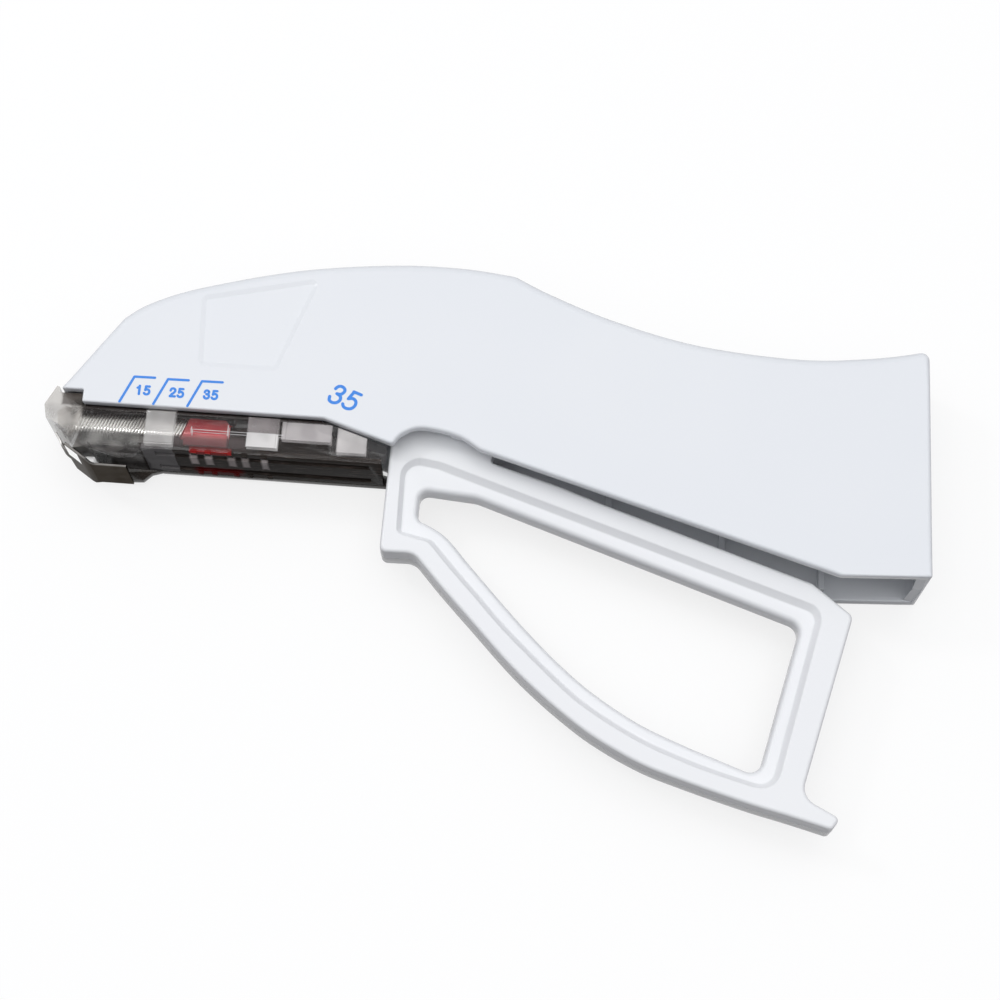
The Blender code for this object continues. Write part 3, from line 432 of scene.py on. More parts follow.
# Colour of thin pale lines on the cover: painted highlights along its edges.
PAINTED_HIGHLIGHT_LINE = (0.9, 0.88, 0.88)
# Colour of small pale marks on the base's underside: painted glints.
PAINTED_GLINT = (0.62, 0.55, 0.53)
HOUSING_WHITE = MouldedPlastic("housing_gloss_white", (0.80, 0.82, 0.85), 0.16,
                               (0.79, 0.812, 0.845))
TRIGGER_WHITE = MouldedPlastic("trigger_gloss_white", (0.86, 0.87, 0.885), 0.16,
                               (0.85, 0.86, 0.88))
NYLON_GREY = MouldedPlastic("rocker_nylon", (0.55, 0.57, 0.59), 0.42, (0.48, 0.5, 0.53),
                            texture_per_mm=1.2, texture_depth=0.02)
FOLLOWER_RED = MouldedPlastic("follower_red", (0.88, 0.17, 0.18), 0.25, (0.78, 0.10, 0.12),
                              texture_per_mm=1.4, texture_depth=0.02, flow_per_mm=0.25, coat=0.4)
COVER_PATCHES = (
    # Near-black band along the cover just below the housing's edge: painted shade under the
    # housing.
    through((-72.0, -3.2), (-23.5, -1.4), (0.035, 0.027, 0.025), 0.8, 0.25),
    # Pale, more opaque patch on the muzzle's facets: painted highlight.
    through((-75.0, -7.5), (-67.2, 6.0), (0.70, 0.66, 0.61), 0.45, 0.4, 0.6),
    # Darker patch at the nose just under the housing's tip: painted shade.
    through((-70.9, -2.9), (-66.7, 0.9), (0.10, 0.085, 0.075), 0.85, 0.35, 0.4),
    through((-66.8, -9.6), (-56.4, -6.4), (0.40, 0.39, 0.37), 0.4, 0.3, 0.3),
    through((-55.6, -9.1), (-50.4, -2.3), (0.78, 0.76, 0.74), 0.42),
    # Dark band below the follower, faintly red: painted shade with a painted reflection of the
    # follower.
    through((-50.3, -8.9), (-37.6, -6.8), (0.11, 0.085, 0.085), 0.45, 0.25),
    through((-37.5, -5.7), (-31.9, -2.6), (0.42, 0.38, 0.38), 0.5),
    through((-37.5, -8.4), (-31.9, -5.7), (0.80, 0.78, 0.77), 0.85),
    through((-31.4, -6.6), (-22.5, -3.3), (0.66, 0.62, 0.62), 0.6),
    through((-21.5, -8.3), (-16.2, -3.5), (0.74, 0.71, 0.70), 0.68),
    # A thin pale line with two ticks: painted highlights.
    through((-47.6, -5.88), (-31.0, -5.76), PAINTED_HIGHLIGHT_LINE, 0.7, 0.04),
    through((-47.43, -6.6), (-47.27, -5.3), PAINTED_HIGHLIGHT_LINE, 0.7, 0.04),
    through((-40.98, -6.7), (-40.82, -4.6), PAINTED_HIGHLIGHT_LINE, 0.7, 0.04),
    # Near-black on the cover's lower far edge: painted shade on the underside.
    Patch((-63.5, -12.5, -1.0), (-12.0, -7.4, 3.4), (0.055, 0.042, 0.035), 0.92, 0.15, 0.5),
)
CORE_PATCHES = (
    through((-73.0, -14.5), (-56.6, -2.5), (0.40, 0.38, 0.36), 0.75, 0.3, 0.22),
    through((-56.2, -14.5), (-50.6, -8.5), (0.22, 0.21, 0.21), 0.95),
    # Dark red patch and red line on the base: painted reflection of the red follower.
    Patch((-47.6, -14.5, 1.5), (-39.2, -8.4, 6.8), (0.13, 0.008, 0.008), 0.95, 0.9),
    Patch((-47.6, -9.6, 13.6), (-40.1, -8.0, 15.6), (0.42, 0.015, 0.015), 0.95),
    # Five small pale marks on the base's underside: painted glints.
    *(Patch((west, -14.5, low), (east, -8.4, high), colour, 0.95, 0.3, 0.75)
      for west, east, low, high, colour in (
          (-47.9, -46.6, 8.2, 12.8, PAINTED_GLINT), (-45.2, -43.9, 8.2, 12.8, PAINTED_GLINT),
          (-41.1, -39.8, 8.2, 12.2, PAINTED_GLINT), (-38.6, -37.4, 8.2, 12.2, PAINTED_GLINT),
          (-35.1, -34.0, 7.8, 12.0, (0.66, 0.60, 0.58)))),
)
COVER_CLEAR = ClearPlastic("cartridge_clear", (0.20, 0.185, 0.18), 0.06, body=0.07, rim=0.3,
                           streak=(0.6, 0.58, 0.57), patches=COVER_PATCHES)
# Near-black, nearly opaque finish for the clear cartridge base: painted shade of the cartridge's
# inside.
CORE_PAINTED_SHADE = ClearPlastic("cartridge_core_painted_shade", (0.035, 0.028, 0.024), 0.1, body=0.93, rim=0.06,
                          streak=(0.16, 0.12, 0.10), streak_share=0.4, gloss=0.12, shine=0.0,
                          patches=CORE_PATCHES)
# Anvil plate steel painted near-black with a darkened specular tint, except at its tongue: a
# painted dark reflection.
ANVIL_STEEL_PAINTED_REFLECTIONS = Steel("anvil_steel_painted_reflections", (0.12, 0.115, 0.11), 0.16, (0.04, 0.038, 0.036),
                    graze=(0.30, 0.29, 0.28),
                    patches=(Patch((-75.0, -9.3, -1.0), (-71.2, 0.0, 19.0), (0.55, 0.54, 0.53)),))
# Bright steel for a thin sheet on the anvil plate: a painted highlight.
ANVIL_PAINTED_HIGHLIGHT = Steel("anvil_painted_highlight", (0.95, 0.95, 0.94), 0.1, (0.8, 0.8, 0.8), wear=0.2)
PLATE_STEEL = Steel("plate_steel", (0.56, 0.56, 0.57), 0.28)
PIN_STEEL = Steel("pin_steel", (0.62, 0.62, 0.62), 0.22, (0.4, 0.4, 0.4), (5.0, 5.0, 0.3))
SPRING_STEEL = Steel("spring_steel", (0.5, 0.5, 0.5), 0.3, (0.3, 0.3, 0.3), (2.0, 2.0, 2.0))
STAPLE_STEEL = Steel("staple_wire", (0.98, 0.97, 0.94), 0.14, (0.75, 0.75, 0.72), (3.0, 3.0, 3.0),
                     wear=0.3)
PRINT_BLUE = Ink("print_blue", (0.016, 0.21, 0.71), 0.35)


def catmull(points: Sequence[Point], steps: int = 24) -> np.ndarray:
    """Catmull-Rom curve through points: each span is a cubic of the four points round it.

    Args:
        points: The points, whose ends are kept.
        steps: Samples to each span.

    Returns:
        The curve's points, one row each.
    """
    knots = np.asarray(points, float)
    if len(knots) == 2:
        share = np.linspace(0.0, 1.0, steps + 1)[:, None]
        return knots[0] + (knots[1] - knots[0]) * share
    padded = np.vstack([knots[:1], knots, knots[-1:]])
    a, b, c, d = (padded[k:len(knots) - 1 + k, None, :] for k in range(4))
    t = np.linspace(0.0, 1.0, steps, endpoint=False)[None, :, None]
    spans = 0.5 * (2 * b + (c - a) * t + (2 * a - 5 * b + 4 * c - d) * t ** 2
                   + (3 * b - a - 3 * c + d) * t ** 3)
    return np.vstack([spans.reshape(-1, knots.shape[1]), knots[-1:]])


@dataclass(frozen=True)
class Run:
    """One side of an outline: its guide points, samples, and the corner radius at its start."""

    guide: Sequence[Point]
    samples: int
    corner: float = 0.5


class Outline:
    """Closed clockwise outline of runs, which can be moved inwards run by run."""

    ARC = 7
    REACH = 8.0
    STRAIGHT = 0.02
    SMALLEST = 0.02
    SPARE = 0.002

    def __init__(self, runs: Sequence[Run]) -> None:
        """Work out each run's dense curve, arc length and inward normals."""
        self.runs = list(runs)
        self.curves = [self._dense(run) for run in runs]

    def _dense(self, run: Run) -> tuple[np.ndarray, np.ndarray, np.ndarray]:
        """Dense curve of a run, made longer at both ends.

        Args:
            run: The run.

        Returns:
            Arc length, point and inward normal at each sample.
        """
        curve = catmull(run.guide)
        first = curve[0] - curve[1]
        last = curve[-1] - curve[-2]
        before = curve[0] + first / np.linalg.norm(first) * self.REACH
        after = curve[-1] + last / np.linalg.norm(last) * self.REACH
        full = np.vstack([before, curve, after])
        steps = np.linalg.norm(np.diff(full, axis=0), axis=1)
        length = np.concatenate([[0.0], np.cumsum(steps)]) - self.REACH
        along = np.gradient(full, length, axis=0)
        along /= np.linalg.norm(along, axis=1)[:, None]
        inward = np.stack([along[:, 1], -along[:, 0]], axis=1)
        return length, full, inward

    def _at(self, index: int, where: np.ndarray, inset: float) -> np.ndarray:
        """Points of a run, moved inwards.

        Args:
            index: The run.
            where: Arc lengths along it.
            inset: Inward distance.

        Returns:
            The points, one row each.
        """
        length, full, inward = self.curves[index]
        spot = np.stack([np.interp(where, length, full[:, k]) for k in range(2)], axis=1)
        side = np.stack([np.interp(where, length, inward[:, k]) for k in range(2)], axis=1)
        side /= np.linalg.norm(side, axis=1)[:, None]
        return spot + side * inset

    def _corner(self, index: int, insets: Sequence[float]) -> tuple[float, float, np.ndarray]:
        """Arc at the start of a run.

        The moved lines meet at the mitre point. The arc is a circle through its two tangent
        points, written as a rational quadratic curve whose weight is the cosine of half the turn.

        Args:
            index: The run.
            insets: Inward distance of every run.

        Returns:
            Length taken off the run before, length taken off this run, and the arc's points.
        """
        n_before = self.curves[index - 1][2][-2]
        n_here = self.curves[index][2][1]
        t_before = np.array([-n_before[1], n_before[0]])
        t_here = np.array([-n_here[1], n_here[0]])
        d_before, d_here = insets[index - 1], insets[index]
        turn = t_before[1] * t_here[0] - t_before[0] * t_here[1]
        angle = math.atan2(turn, float(t_before @ t_here))
        if abs(turn) < self.STRAIGHT:
            mitre = n_before * (d_before + d_here) / 2
        else:
            mitre = np.linalg.solve(np.array([n_before, n_here]), np.array([d_before, d_here]))
        radius = self.runs[index].corner
        deepest = max(d_before, d_here)
        radius = max(radius - deepest, self.SMALLEST) if angle > 0 else radius + deepest
        run_off = radius * math.tan(abs(angle) / 2) + self.SPARE
        back = float(-mitre @ t_before) + run_off
        ahead = float(mitre @ t_here) + run_off
        corner = self.curves[index][1][1] + mitre
        first = corner - t_before * run_off
        last = corner + t_here * run_off
        t = np.linspace(0.0, 1.0, self.ARC)[:, None]
        weight = math.cos(angle / 2)
        shares = ((1 - t) ** 2, 2 * weight * t * (1 - t), t ** 2)
        arc = (shares[0] * first + shares[1] * corner + shares[2] * last) / sum(shares)
        return back, ahead, arc

    def ring(self, insets: "float | Sequence[float]" = 0.0) -> np.ndarray:
        """The outline moved inwards, always with the same number of points.

        Args:
            insets: One distance, or one for each run.

        Returns:
            Points, clockwise, beginning with the arc before the first run.
        """
        count = len(self.runs)
        spread = [float(insets)] * count if np.isscalar(insets) else list(insets)
        corners = [self._corner(k, spread) for k in range(count)]
        parts = []
        for k, run in enumerate(self.runs):
            start = corners[k][1]
            length = self.curves[k][0][-2]
            end = length - corners[(k + 1) % count][0]
            where = np.linspace(start, end, run.samples + 2)[1:-1]
            parts += [corners[k][2], self._at(k, where, spread[k])]
        return np.vstack(parts)

    def starts(self) -> list[int]:
        """Index of the first arc point before each run."""
        sizes = [self.ARC + run.samples for run in self.runs]
        return [int(value) for value in np.concatenate([[0], np.cumsum(sizes)[:-1]])]

    def spread(self, values: Sequence[float]) -> np.ndarray:
        """One number for each ring point from one for each run, blended over the arcs.

        Args:
            values: The number of each run.

        Returns:
            The number at each ring point.
        """
        parts = []
        for k, run in enumerate(self.runs):
            share = np.linspace(0.0, 1.0, self.ARC)
            parts += [values[k - 1] + (values[k] - values[k - 1]) * share,
                      np.full(run.samples, float(values[k]))]
        return np.concatenate(parts)

    def varied(self, insets: np.ndarray, deepest: float = 3.0, layers: int = 13) -> np.ndarray:
        """Ring whose inward distance changes from point to point.

        Each point runs along a line that the evenly moved rings give it, and is read off there.

        Args:
            insets: Distance of each ring point.
            deepest: The largest distance.
            layers: Evenly moved rings to read between.

        Returns:
            The ring's points.
        """
        depths = np.linspace(0.0, deepest, layers)
        family = np.stack([self.ring(depth) for depth in depths])
        place = np.clip(insets / deepest, 0.0, 1.0) * (layers - 1)
        low = np.minimum(place.astype(int), layers - 2)
        share = (place - low)[:, None]
        rows = np.arange(family.shape[1])
        return family[low, rows] * (1 - share) + family[low + 1, rows] * share


def soften(values: np.ndarray, reach: int) -> np.ndarray:
    """Running mean of a closed row of numbers, taken twice.

    Args:
        values: The numbers.
        reach: How many neighbours on each side count.

    Returns:
        The softened numbers.
    """
    window = np.ones(2 * reach + 1) / (2 * reach + 1)
    for _ in range(2):
        padded = np.concatenate([values[-reach:], values, values[:reach]])
        values = np.convolve(padded, window, mode="valid")
    return values


class Skin:
    """Grids and caps gathered into one mesh, in millimetres."""

    def __init__(self) -> None:
        """Start empty."""
        self.points: list[np.ndarray] = []
        self.faces: list[list[int]] = []
        self.count = 0

    def _add(self, points: np.ndarray) -> np.ndarray:
        """Store points.

        Args:
            points: Any array whose last axis is X, Y and Z.

        Returns:
            The points' numbers in the mesh.
        """
        flat = np.asarray(points, float).reshape(-1, 3)
        numbers = np.arange(self.count, self.count + len(flat))
        self.points.append(flat)
        self.count += len(flat)
        return numbers

    def grid(self, rings: "np.ndarray | Sequence[np.ndarray]", closed: bool = True) -> None:
        """Add a surface given as rows of points.

        Args:
            rings: The rows, all with the same number of points.
            closed: Join the last point of each row to its first.
        """
        surface = np.stack(rings)
        numbers = self._add(surface).reshape(surface.shape[:2])
        if closed:
            numbers = np.hstack([numbers, numbers[:, :1]])
        quads = np.stack([numbers[:-1, :-1], numbers[1:, :-1], numbers[1:, 1:], numbers[:-1, 1:]],
                         axis=-1)
        self.faces += quads.reshape(-1, 4).tolist()

    def drum(self, rings: "np.ndarray | Sequence[np.ndarray]") -> None:
        """Add a surface of closed rows with both of its ends capped.

        Args:
            rings: The rows, all with the same number of points.
        """
        self.grid(rings)
        self.cap(rings[0])
        self.cap(rings[-1])

    def cap(self, ring: np.ndarray) -> None:
        """Close a flat ring with one face."""
        self.faces.append(self._add(ring).tolist())

    def frame(self, outer: np.ndarray, inner: np.ndarray,
              cuts: Sequence[tuple[Point, Point]]) -> None:
        """Fill the flat space between two clockwise rings with two faces that meet at two cuts.

        Args:
            outer: The outer ring.
            inner: The inner ring.
            cuts: Two places on the outer ring, each with the place on the inner ring it joins.
        """
        numbers = [self._add(ring) for ring in (outer, inner)]
        ends = [[int(np.argmin(np.linalg.norm(ring[:, :2] - cut[k], axis=1))) for cut in cuts]
                for k, ring in enumerate((outer, inner))]

        def stretch(which: int, first: int, last: int) -> list[int]:
            """Numbers of one ring from one cut on to the other."""
            row, start = numbers[which], ends[which][first]
            return np.roll(row, -start)[:(ends[which][last] - start) % len(row) + 1].tolist()

        for first, last in ((0, 1), (1, 0)):
            self.faces.append(stretch(0, first, last) + stretch(1, first, last)[::-1])

    def piece(self, name: str, sharp: float = 32.0) -> bpy.types.Object:
        """Turn the surfaces into an object at the origin.

        Args:
            name: The piece's name.
            sharp: Angle in degrees above which an edge is shaded sharp.

        Returns:
            The object, its doubles merged and its faces pointing outwards.
        """
        mesh = bpy.data.meshes.new(name)
        mesh.from_pydata((np.vstack(self.points) * MM).tolist(), [], self.faces)
        tidy_mesh(mesh, sharp)
        return linked(name, mesh)


def linked(name: str, data: bpy.types.ID) -> bpy.types.Object:
    """Put an object into the scene.

    Args:
        name: Its name.
        data: Its mesh, lamp or camera.

    Returns:
        The object, at the origin.
    """
    made = bpy.data.objects.new(name, data)
    bpy.context.scene.collection.objects.link(made)
    return made


def tidy_mesh(mesh: bpy.types.Mesh, sharp: float) -> None:
    """Merge doubles, point faces outwards and shade smooth.

    Args:
        mesh: The mesh.
        sharp: Angle in degrees above which an edge is shaded sharp.
    """
    work = bmesh.new()
    work.from_mesh(mesh)
    bmesh.ops.remove_doubles(work, verts=work.verts, dist=WELD)
    bmesh.ops.dissolve_degenerate(work, edges=work.edges, dist=WELD / 4)
    bmesh.ops.recalc_face_normals(work, faces=work.faces)
    work.to_mesh(mesh)
    work.free()
    mesh.shade_smooth()
    mesh.set_sharp_from_angle(angle=math.radians(sharp))


def lift(ring: np.ndarray, height: "float | np.ndarray") -> np.ndarray:
    """Ring in the plane with a height added as Z."""
    return np.column_stack([ring, np.broadcast_to(height, len(ring))])


def mirrored(points: np.ndarray) -> np.ndarray:
    """Points reflected in the stapler's middle plane."""
    return points * np.array([1.0, 1.0, -1.0]) + np.array([0.0, 0.0, WIDTH])


def quarter(count: int) -> tuple[np.ndarray, np.ndarray]:
    """Quarter circle as (distance still to go, distance covered), both from 0 to 1."""
    angle = np.linspace(0.0, math.pi / 2, count)
    return 1.0 - np.sin(angle), 1.0 - np.cos(angle)


def slanted_wall(width: float, depth: float, round_top: float, round_foot: float,
                 count: int = 5) -> list[Point]:
    """Section of a slanted wall whose two creases are rounded by circle arcs.

    Args:
        width: How far the wall runs inwards.
        depth: How far it falls.
        round_top: Radius at the top.
        round_foot: Radius at the foot.
        count: Points to each arc.

    Returns:
        (inset, drop) pairs from the flat above to the flat below, one more flat point at each end.
    """
    slope = math.atan2(depth, width)
    angle = np.linspace(0.0, slope, count)
    top_run, foot_run = (radius * math.tan(slope / 2) for radius in (round_top, round_foot))
    top = zip(-top_run + round_top * np.sin(angle), round_top * (1 - np.cos(angle)))
    back = angle[::-1]
    foot = zip(width + foot_run - round_foot * np.sin(back),
               depth - round_foot * (1 - np.cos(back)))
    return [(-top_run - FLAT, 0.0), *top, *foot, (width + foot_run + FLAT, depth)]


def rounded_plate(skin: Skin, outline: Outline, low: float, high: float, edge: float) -> None:
    """Solid plate between two heights, both rims rounded by quarter circles.

    Args:
        skin: Where the surface goes.
        outline: The plate's outline.
        low: Lower face.
        high: Upper face.
        edge: Radius of the rims.
    """
    inward, down = quarter(4)
    rings = [lift(outline.ring(edge * i), high - edge * d) for i, d in zip(inward, down)]
    rings += [lift(outline.ring(edge * i), low + edge * d)
              for i, d in zip(inward[::-1], down[::-1])]
    skin.drum(rings)


def turned(skin: Skin, centre: Point, profile: Sequence[Point], sides: int = 48) -> None:
    """Solid of revolution about a line along Z, from (radius, height) pairs.

    Args:
        skin: Where the surface goes.
        centre: The axis in the plane.
        profile: Radius and height of each ring; the first and last radius may be 0.
        sides: Facets round the axis.
    """
    angle = np.linspace(0.0, 2 * math.pi, sides, endpoint=False)
    radius = np.array([max(pair[0], 0.0) for pair in profile])[:, None]
    height = np.array([pair[1] for pair in profile])[:, None]
    surface = np.stack([centre[0] + radius * np.cos(angle), centre[1] + radius * np.sin(angle),
                        np.broadcast_to(height, (len(profile), sides))], axis=-1)
    skin.grid(surface)


def tube(skin: Skin, path: np.ndarray, radius: float, sides: int = 10, dome: float = 0.6) -> None:
    """Round wire along a path, with domed ends.

    The ring at each point lies square to the path. Its first direction is carried along the
    path by taking out the part that points along the tangent.

    Args:
        skin: Where the surface goes.
        path: Points of the centre line.
        radius: Radius of the wire.
        sides: Facets round the wire.
        dome: Height of the ends' domes as a share of the radius.
    """
    tangent = np.gradient(path, axis=0)
    tangent /= np.linalg.norm(tangent, axis=1)[:, None]
    across = np.cross(tangent[0], (0.3, 0.2, 0.9))
    frames = []
    for direction in tangent:
        across = across - direction * float(across @ direction)
        across = across / np.linalg.norm(across)
        frames.append((across, np.cross(direction, across)))
    first, second = (np.array([pair[k] for pair in frames]) for k in range(2))
    angle = np.linspace(0.0, 2 * math.pi, sides, endpoint=False)[None, :, None]
    spokes = first[:, None, :] * np.cos(angle) + second[:, None, :] * np.sin(angle)
    rings = path[:, None, :] + radius * spokes
    shrink, out = quarter(4)
    head = [path[0] - tangent[0] * radius * (1 - s) * dome + spokes[0] * radius * (1 - o)
            for s, o in zip(shrink[::-1], out[::-1])]
    tail = [path[-1] + tangent[-1] * radius * (1 - s) * dome + spokes[-1] * radius * (1 - o)
            for s, o in zip(shrink, out)]
    skin.grid(np.concatenate([np.stack(head[:-1]), rings, np.stack(tail[1:])]))


def settle(made: bpy.types.Object, body: Body, finish: Finish, slot: "Slot | None",
           *nodes: str) -> bpy.types.Object:
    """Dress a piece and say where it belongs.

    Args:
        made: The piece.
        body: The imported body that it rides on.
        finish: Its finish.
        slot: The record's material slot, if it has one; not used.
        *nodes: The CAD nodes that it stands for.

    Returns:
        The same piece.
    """
    made.data.materials.clear()
    made.data.materials.append(finish.material())
    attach(made, body.value)
    if nodes:
        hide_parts(*nodes)
    LOG.info("%s rides on %s", made.name, body.value)
    return made


def fine_copy(node: str, name: str, edge: float) -> bpy.types.Object:
    """Merged copy of a CAD node whose edges are rounded.

    Args:
        node: The CAD node.
        name: The copy's name.
        edge: Radius of the edges in millimetres.

    Returns:
        The copy, with its rounding as a live modifier.
    """
    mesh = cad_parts[node].data.copy()
    mesh.name = name
    work = bmesh.new()
    work.from_mesh(mesh)
    bmesh.ops.remove_doubles(work, verts=work.verts, dist=WELD)
    bmesh.ops.dissolve_limit(work, angle_limit=COPLANAR, verts=work.verts, edges=work.edges)
    work.to_mesh(mesh)
    work.free()
    mesh.shade_smooth()
    made = linked(name, mesh)
    rim = made.modifiers.new("rim", "BEVEL")
    rim.width = edge * MM
    rim.segments = 2
    rim.limit_method = "ANGLE"
    rim.angle_limit = CREASE
    rim.use_clamp_overlap = True
    rim.harden_normals = True
    return made


@dataclass(frozen=True)
class Copy:
    """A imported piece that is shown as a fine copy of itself."""

    node: str
    name: str
    edge: float
    body: Body
    finish: Finish
    slot: Slot

    def build(self) -> None:
        """Make the copy and dress it."""
        settle(fine_copy(self.node, self.name, self.edge), self.body, self.finish, self.slot,
               self.node)


def polygon(corners: Sequence[Point], radius: float, samples: int = 6) -> Outline:
    """Outline with straight sides and equal corners, whichever way the corners run.

    Args:
        corners: The corners.
        radius: Radius of each corner.
        samples: Points to each side.

    Returns:
        The clockwise outline.
    """
    ring = np.array(corners, float)
    ahead = np.roll(ring, -1, axis=0)
    area = float(np.sum(ring[:, 0] * ahead[:, 1] - ring[:, 1] * ahead[:, 0]))
    order = [tuple(point) for point in (ring[::-1] if area > 0 else ring)]
    return Outline([Run([here, there], samples, radius)
                    for here, there in zip(order, order[1:] + order[:1])])


@dataclass
class Housing:
    """Two moulded half shells: a face plate with a wall along nose, back and rear."""

    wall: float = 2.0
    nose_wall: float = 0.75
    parting: float = 0.1
    chamfer: float = 0.12
    back_round: float = 1.6
    lip_round: float = 0.6
    edge_round: float = 0.35
    lip: float = 0.4
    nose_foot: Point = (-71.15, -0.3)
    nose_top: Point = (-61.35, 14.5)
    hump: Sequence[Point] = ((-57.5, 17.4), (-48.85, 21.1), (-31.3, 25.8), (-14.55, 28.1),
                             (-2.0, 28.4))
    crease: Point = (7.7, 27.5)
    grip: Sequence[Point] = ((14.7, 24.25), (26.6, 19.95), (41.5, 16.45), (59.2, 15.15),
                             (72.0, 16.25))
    grip_end: Point = (82.35, 18.25)
    rear_foot: Point = (83.3, -24.0)
    loop_side_foot: Point = (67.6, -24.8)
    arch: Sequence[Point] = ((3.8, -6.4), (-0.4, -4.1), (-6.6, -3.1), (-10.0, -4.4),
                             (-11.6, -6.5))
    cartridge_edge: Point = (-24.2, -2.5)
    notch: Point = (-67.0, -0.2)
    panel_rim: Sequence[Point] = ((-48.2, 19.2), (-27.0, 24.2), (-33.3, 5.7), (-47.3, 5.7))
    panel_depth: float = 0.28
    panel_wall: float = 0.85
    panel_corner: float = 1.2
    panel_round: float = 0.45
    posts: Sequence[Point] = ((-44.0, 16.8), (-24.0, 21.4), (4.0, 21.5), (40.0, 10.5), (75.5, 10.0),
                              (75.5, -8.0))
    post_radius: float = 2.4
    spigot_radius: float = 1.2
    spigot_length: float = 4.0
    post_flare: float = 0.5
    foot_height: float = 0.9
    boss_radius: float = 3.9
    boss_near: float = 1.7
    pivot_boss: float = 3.3
    pivot_near: float = 4.1
    bore_radius: float = 1.55
    ribs: Sequence[float] = (27.2, 48.0, 66.0)
    rib_thick: float = 1.2
    rib_height: float = 2.0
    outline: Outline = field(init=False)

    WALLED = 4

    def __post_init__(self) -> None:
        """Lay out the outline: the walled stretch first, then the open lower edges."""
        notch_low = (self.notch[0], self.cartridge_edge[1])
        self.outline = Outline([
            Run([self.nose_foot, self.nose_top], 60, 0.3),
            Run([self.nose_top, *self.hump, self.crease], 170, 3.0),
            Run([self.crease, *self.grip, self.grip_end], 150, 3.0),
            Run([self.grip_end, self.rear_foot], 60, 1.5),
            Run([self.rear_foot, self.loop_side_foot], 30, 0.5),
            Run([self.loop_side_foot, self.arch[0]], 110, 2.0),
            Run(self.arch, 44, 1.5),
            Run([self.arch[-1], self.cartridge_edge], 26, 0.9),
            Run([self.cartridge_edge, notch_low], 62, 2.0),
            Run([notch_low, self.notch], 6, 0.25),
            Run([self.notch, self.nose_foot], 8, 0.2),
        ])

    def _rounds(self) -> np.ndarray:
        """Radius of the face's rim.

        Returns:
            The radius at each ring point, softened where it changes.
        """
        small, lip, back = self.edge_round, self.lip_round, self.back_round
        values = [1.0, back, back, 0.8, small, lip, lip, 0.5, small, 0.25, 0.25]
        return soften(self.outline.spread(values), 5)

    def _insets(self, walled: float, thin: float, opened: float) -> list[float]:
        """Inward distance of each run: nose wall, walled runs and open runs."""
        open_runs = len(self.outline.runs) - self.WALLED
        return [thin] + [walled] * (self.WALLED - 1) + [opened] * open_runs

    def _heights(self, walled: float, opened: float) -> np.ndarray:
        """Height of each ring point.

        Args:
            walled: Height along the walled stretch.
            opened: Height along the open edges.

        Returns:
            The heights.
        """
        first_open = self.outline.starts()[self.WALLED] + Outline.ARC
        heights = np.full(len(self.outline.ring()), opened)
        heights[:first_open] = walled
        return heights

    def _panel(self, side: int) -> list[np.ndarray]:
        """Rings of the shallow panel pressed into a face: its slanted wall with soft creases.

        Args:
            side: 1 for the right shell, -1 for the left one.

        Returns:
            The rings, from the face down to the panel's floor.
        """
        rim = polygon(self.panel_rim, self.panel_corner, 40)
        section = slanted_wall(self.panel_wall, self.panel_depth, self.panel_round,
                               self.panel_round)
        return [self._placed(lift(rim.ring(inset), MID - drop), side) for inset, drop in section]

    def shell(self, side: int) -> bpy.types.Object:
        """One half shell as a single skin with its posts, bosses and ribs.

        Args:
            side: 1 for the right shell, -1 for the left one.

        Returns:
            The shell's object.
        """
        skin = Skin()
        rounds = self._rounds()
        inward, down = quarter(7)
        rings = [lift(self.outline.varied(rounds + FLAT), MID)]
        rings += [lift(self.outline.varied(rounds * share), MID - rounds * drop)
                  for share, drop in zip(inward, down)]
        floor = MID - self.wall
        lip, edge = self.lip, self.chamfer
        # Inset of the walls, of the nose wall and of the open edges, then the heights of both.
        sections = [
            (0.0, 0.0, 0.0, self.parting + edge, floor + lip),
            (edge, edge, edge, self.parting, floor + 0.1),
            (self.wall - edge, self.nose_wall - edge, lip, self.parting, floor),
            (self.wall, self.nose_wall, lip + 0.05, self.parting + edge, floor),
            (self.wall, self.nose_wall, lip + 0.1, floor - 0.5, floor),
            (self.wall + 0.15, self.nose_wall + 0.1, lip + 0.2, floor - 0.15, floor),
            (self.wall + 0.5, self.nose_wall + 0.4, lip + 0.5, floor, floor),
        ]
        for walled, thin, opened, high, low in sections:
            flat = self.outline.ring(self._insets(walled, thin, opened))
            rings.append(lift(flat, self._heights(high, low)))
        placed = [self._placed(ring, side) for ring in rings]
        panel = self._panel(side)
        for surface in (placed, panel):
            skin.grid(surface)
            skin.cap(surface[-1])
        skin.frame(placed[0], panel[0], [(self.hump[1], self.panel_rim[0]),
                                         (self.arch[-1], self.panel_rim[2])])
        self._inside(skin, side)
        return skin.piece("right_shell" if side > 0 else "left_shell")

    @staticmethod
    def _placed(points: np.ndarray, side: int) -> np.ndarray:
        """Turn heights above the middle plane into Z.

        Args:
            points: Points whose third number is the height.
            side: 1 for the right shell, -1 for the left one.

        Returns:
            The placed points.
        """
        moved = np.array(points, float)
        moved[..., 2] = MID + side * moved[..., 2]
        return moved

    def _inside(self, skin: Skin, side: int) -> None:
        """Posts with their sockets or spigots, pin bosses and ribs of one shell.

        Args:
            skin: Where the surfaces go.
            side: 1 for the right shell, -1 for the left one.
        """
        root = MID - self.wall / 2
        shoulder = root - self.foot_height

        def heights(profile: Sequence[Point]) -> list[Point]:
            """Profile with its heights put on the shell's side."""
            return [(radius, MID + side * height) for radius, height in profile]

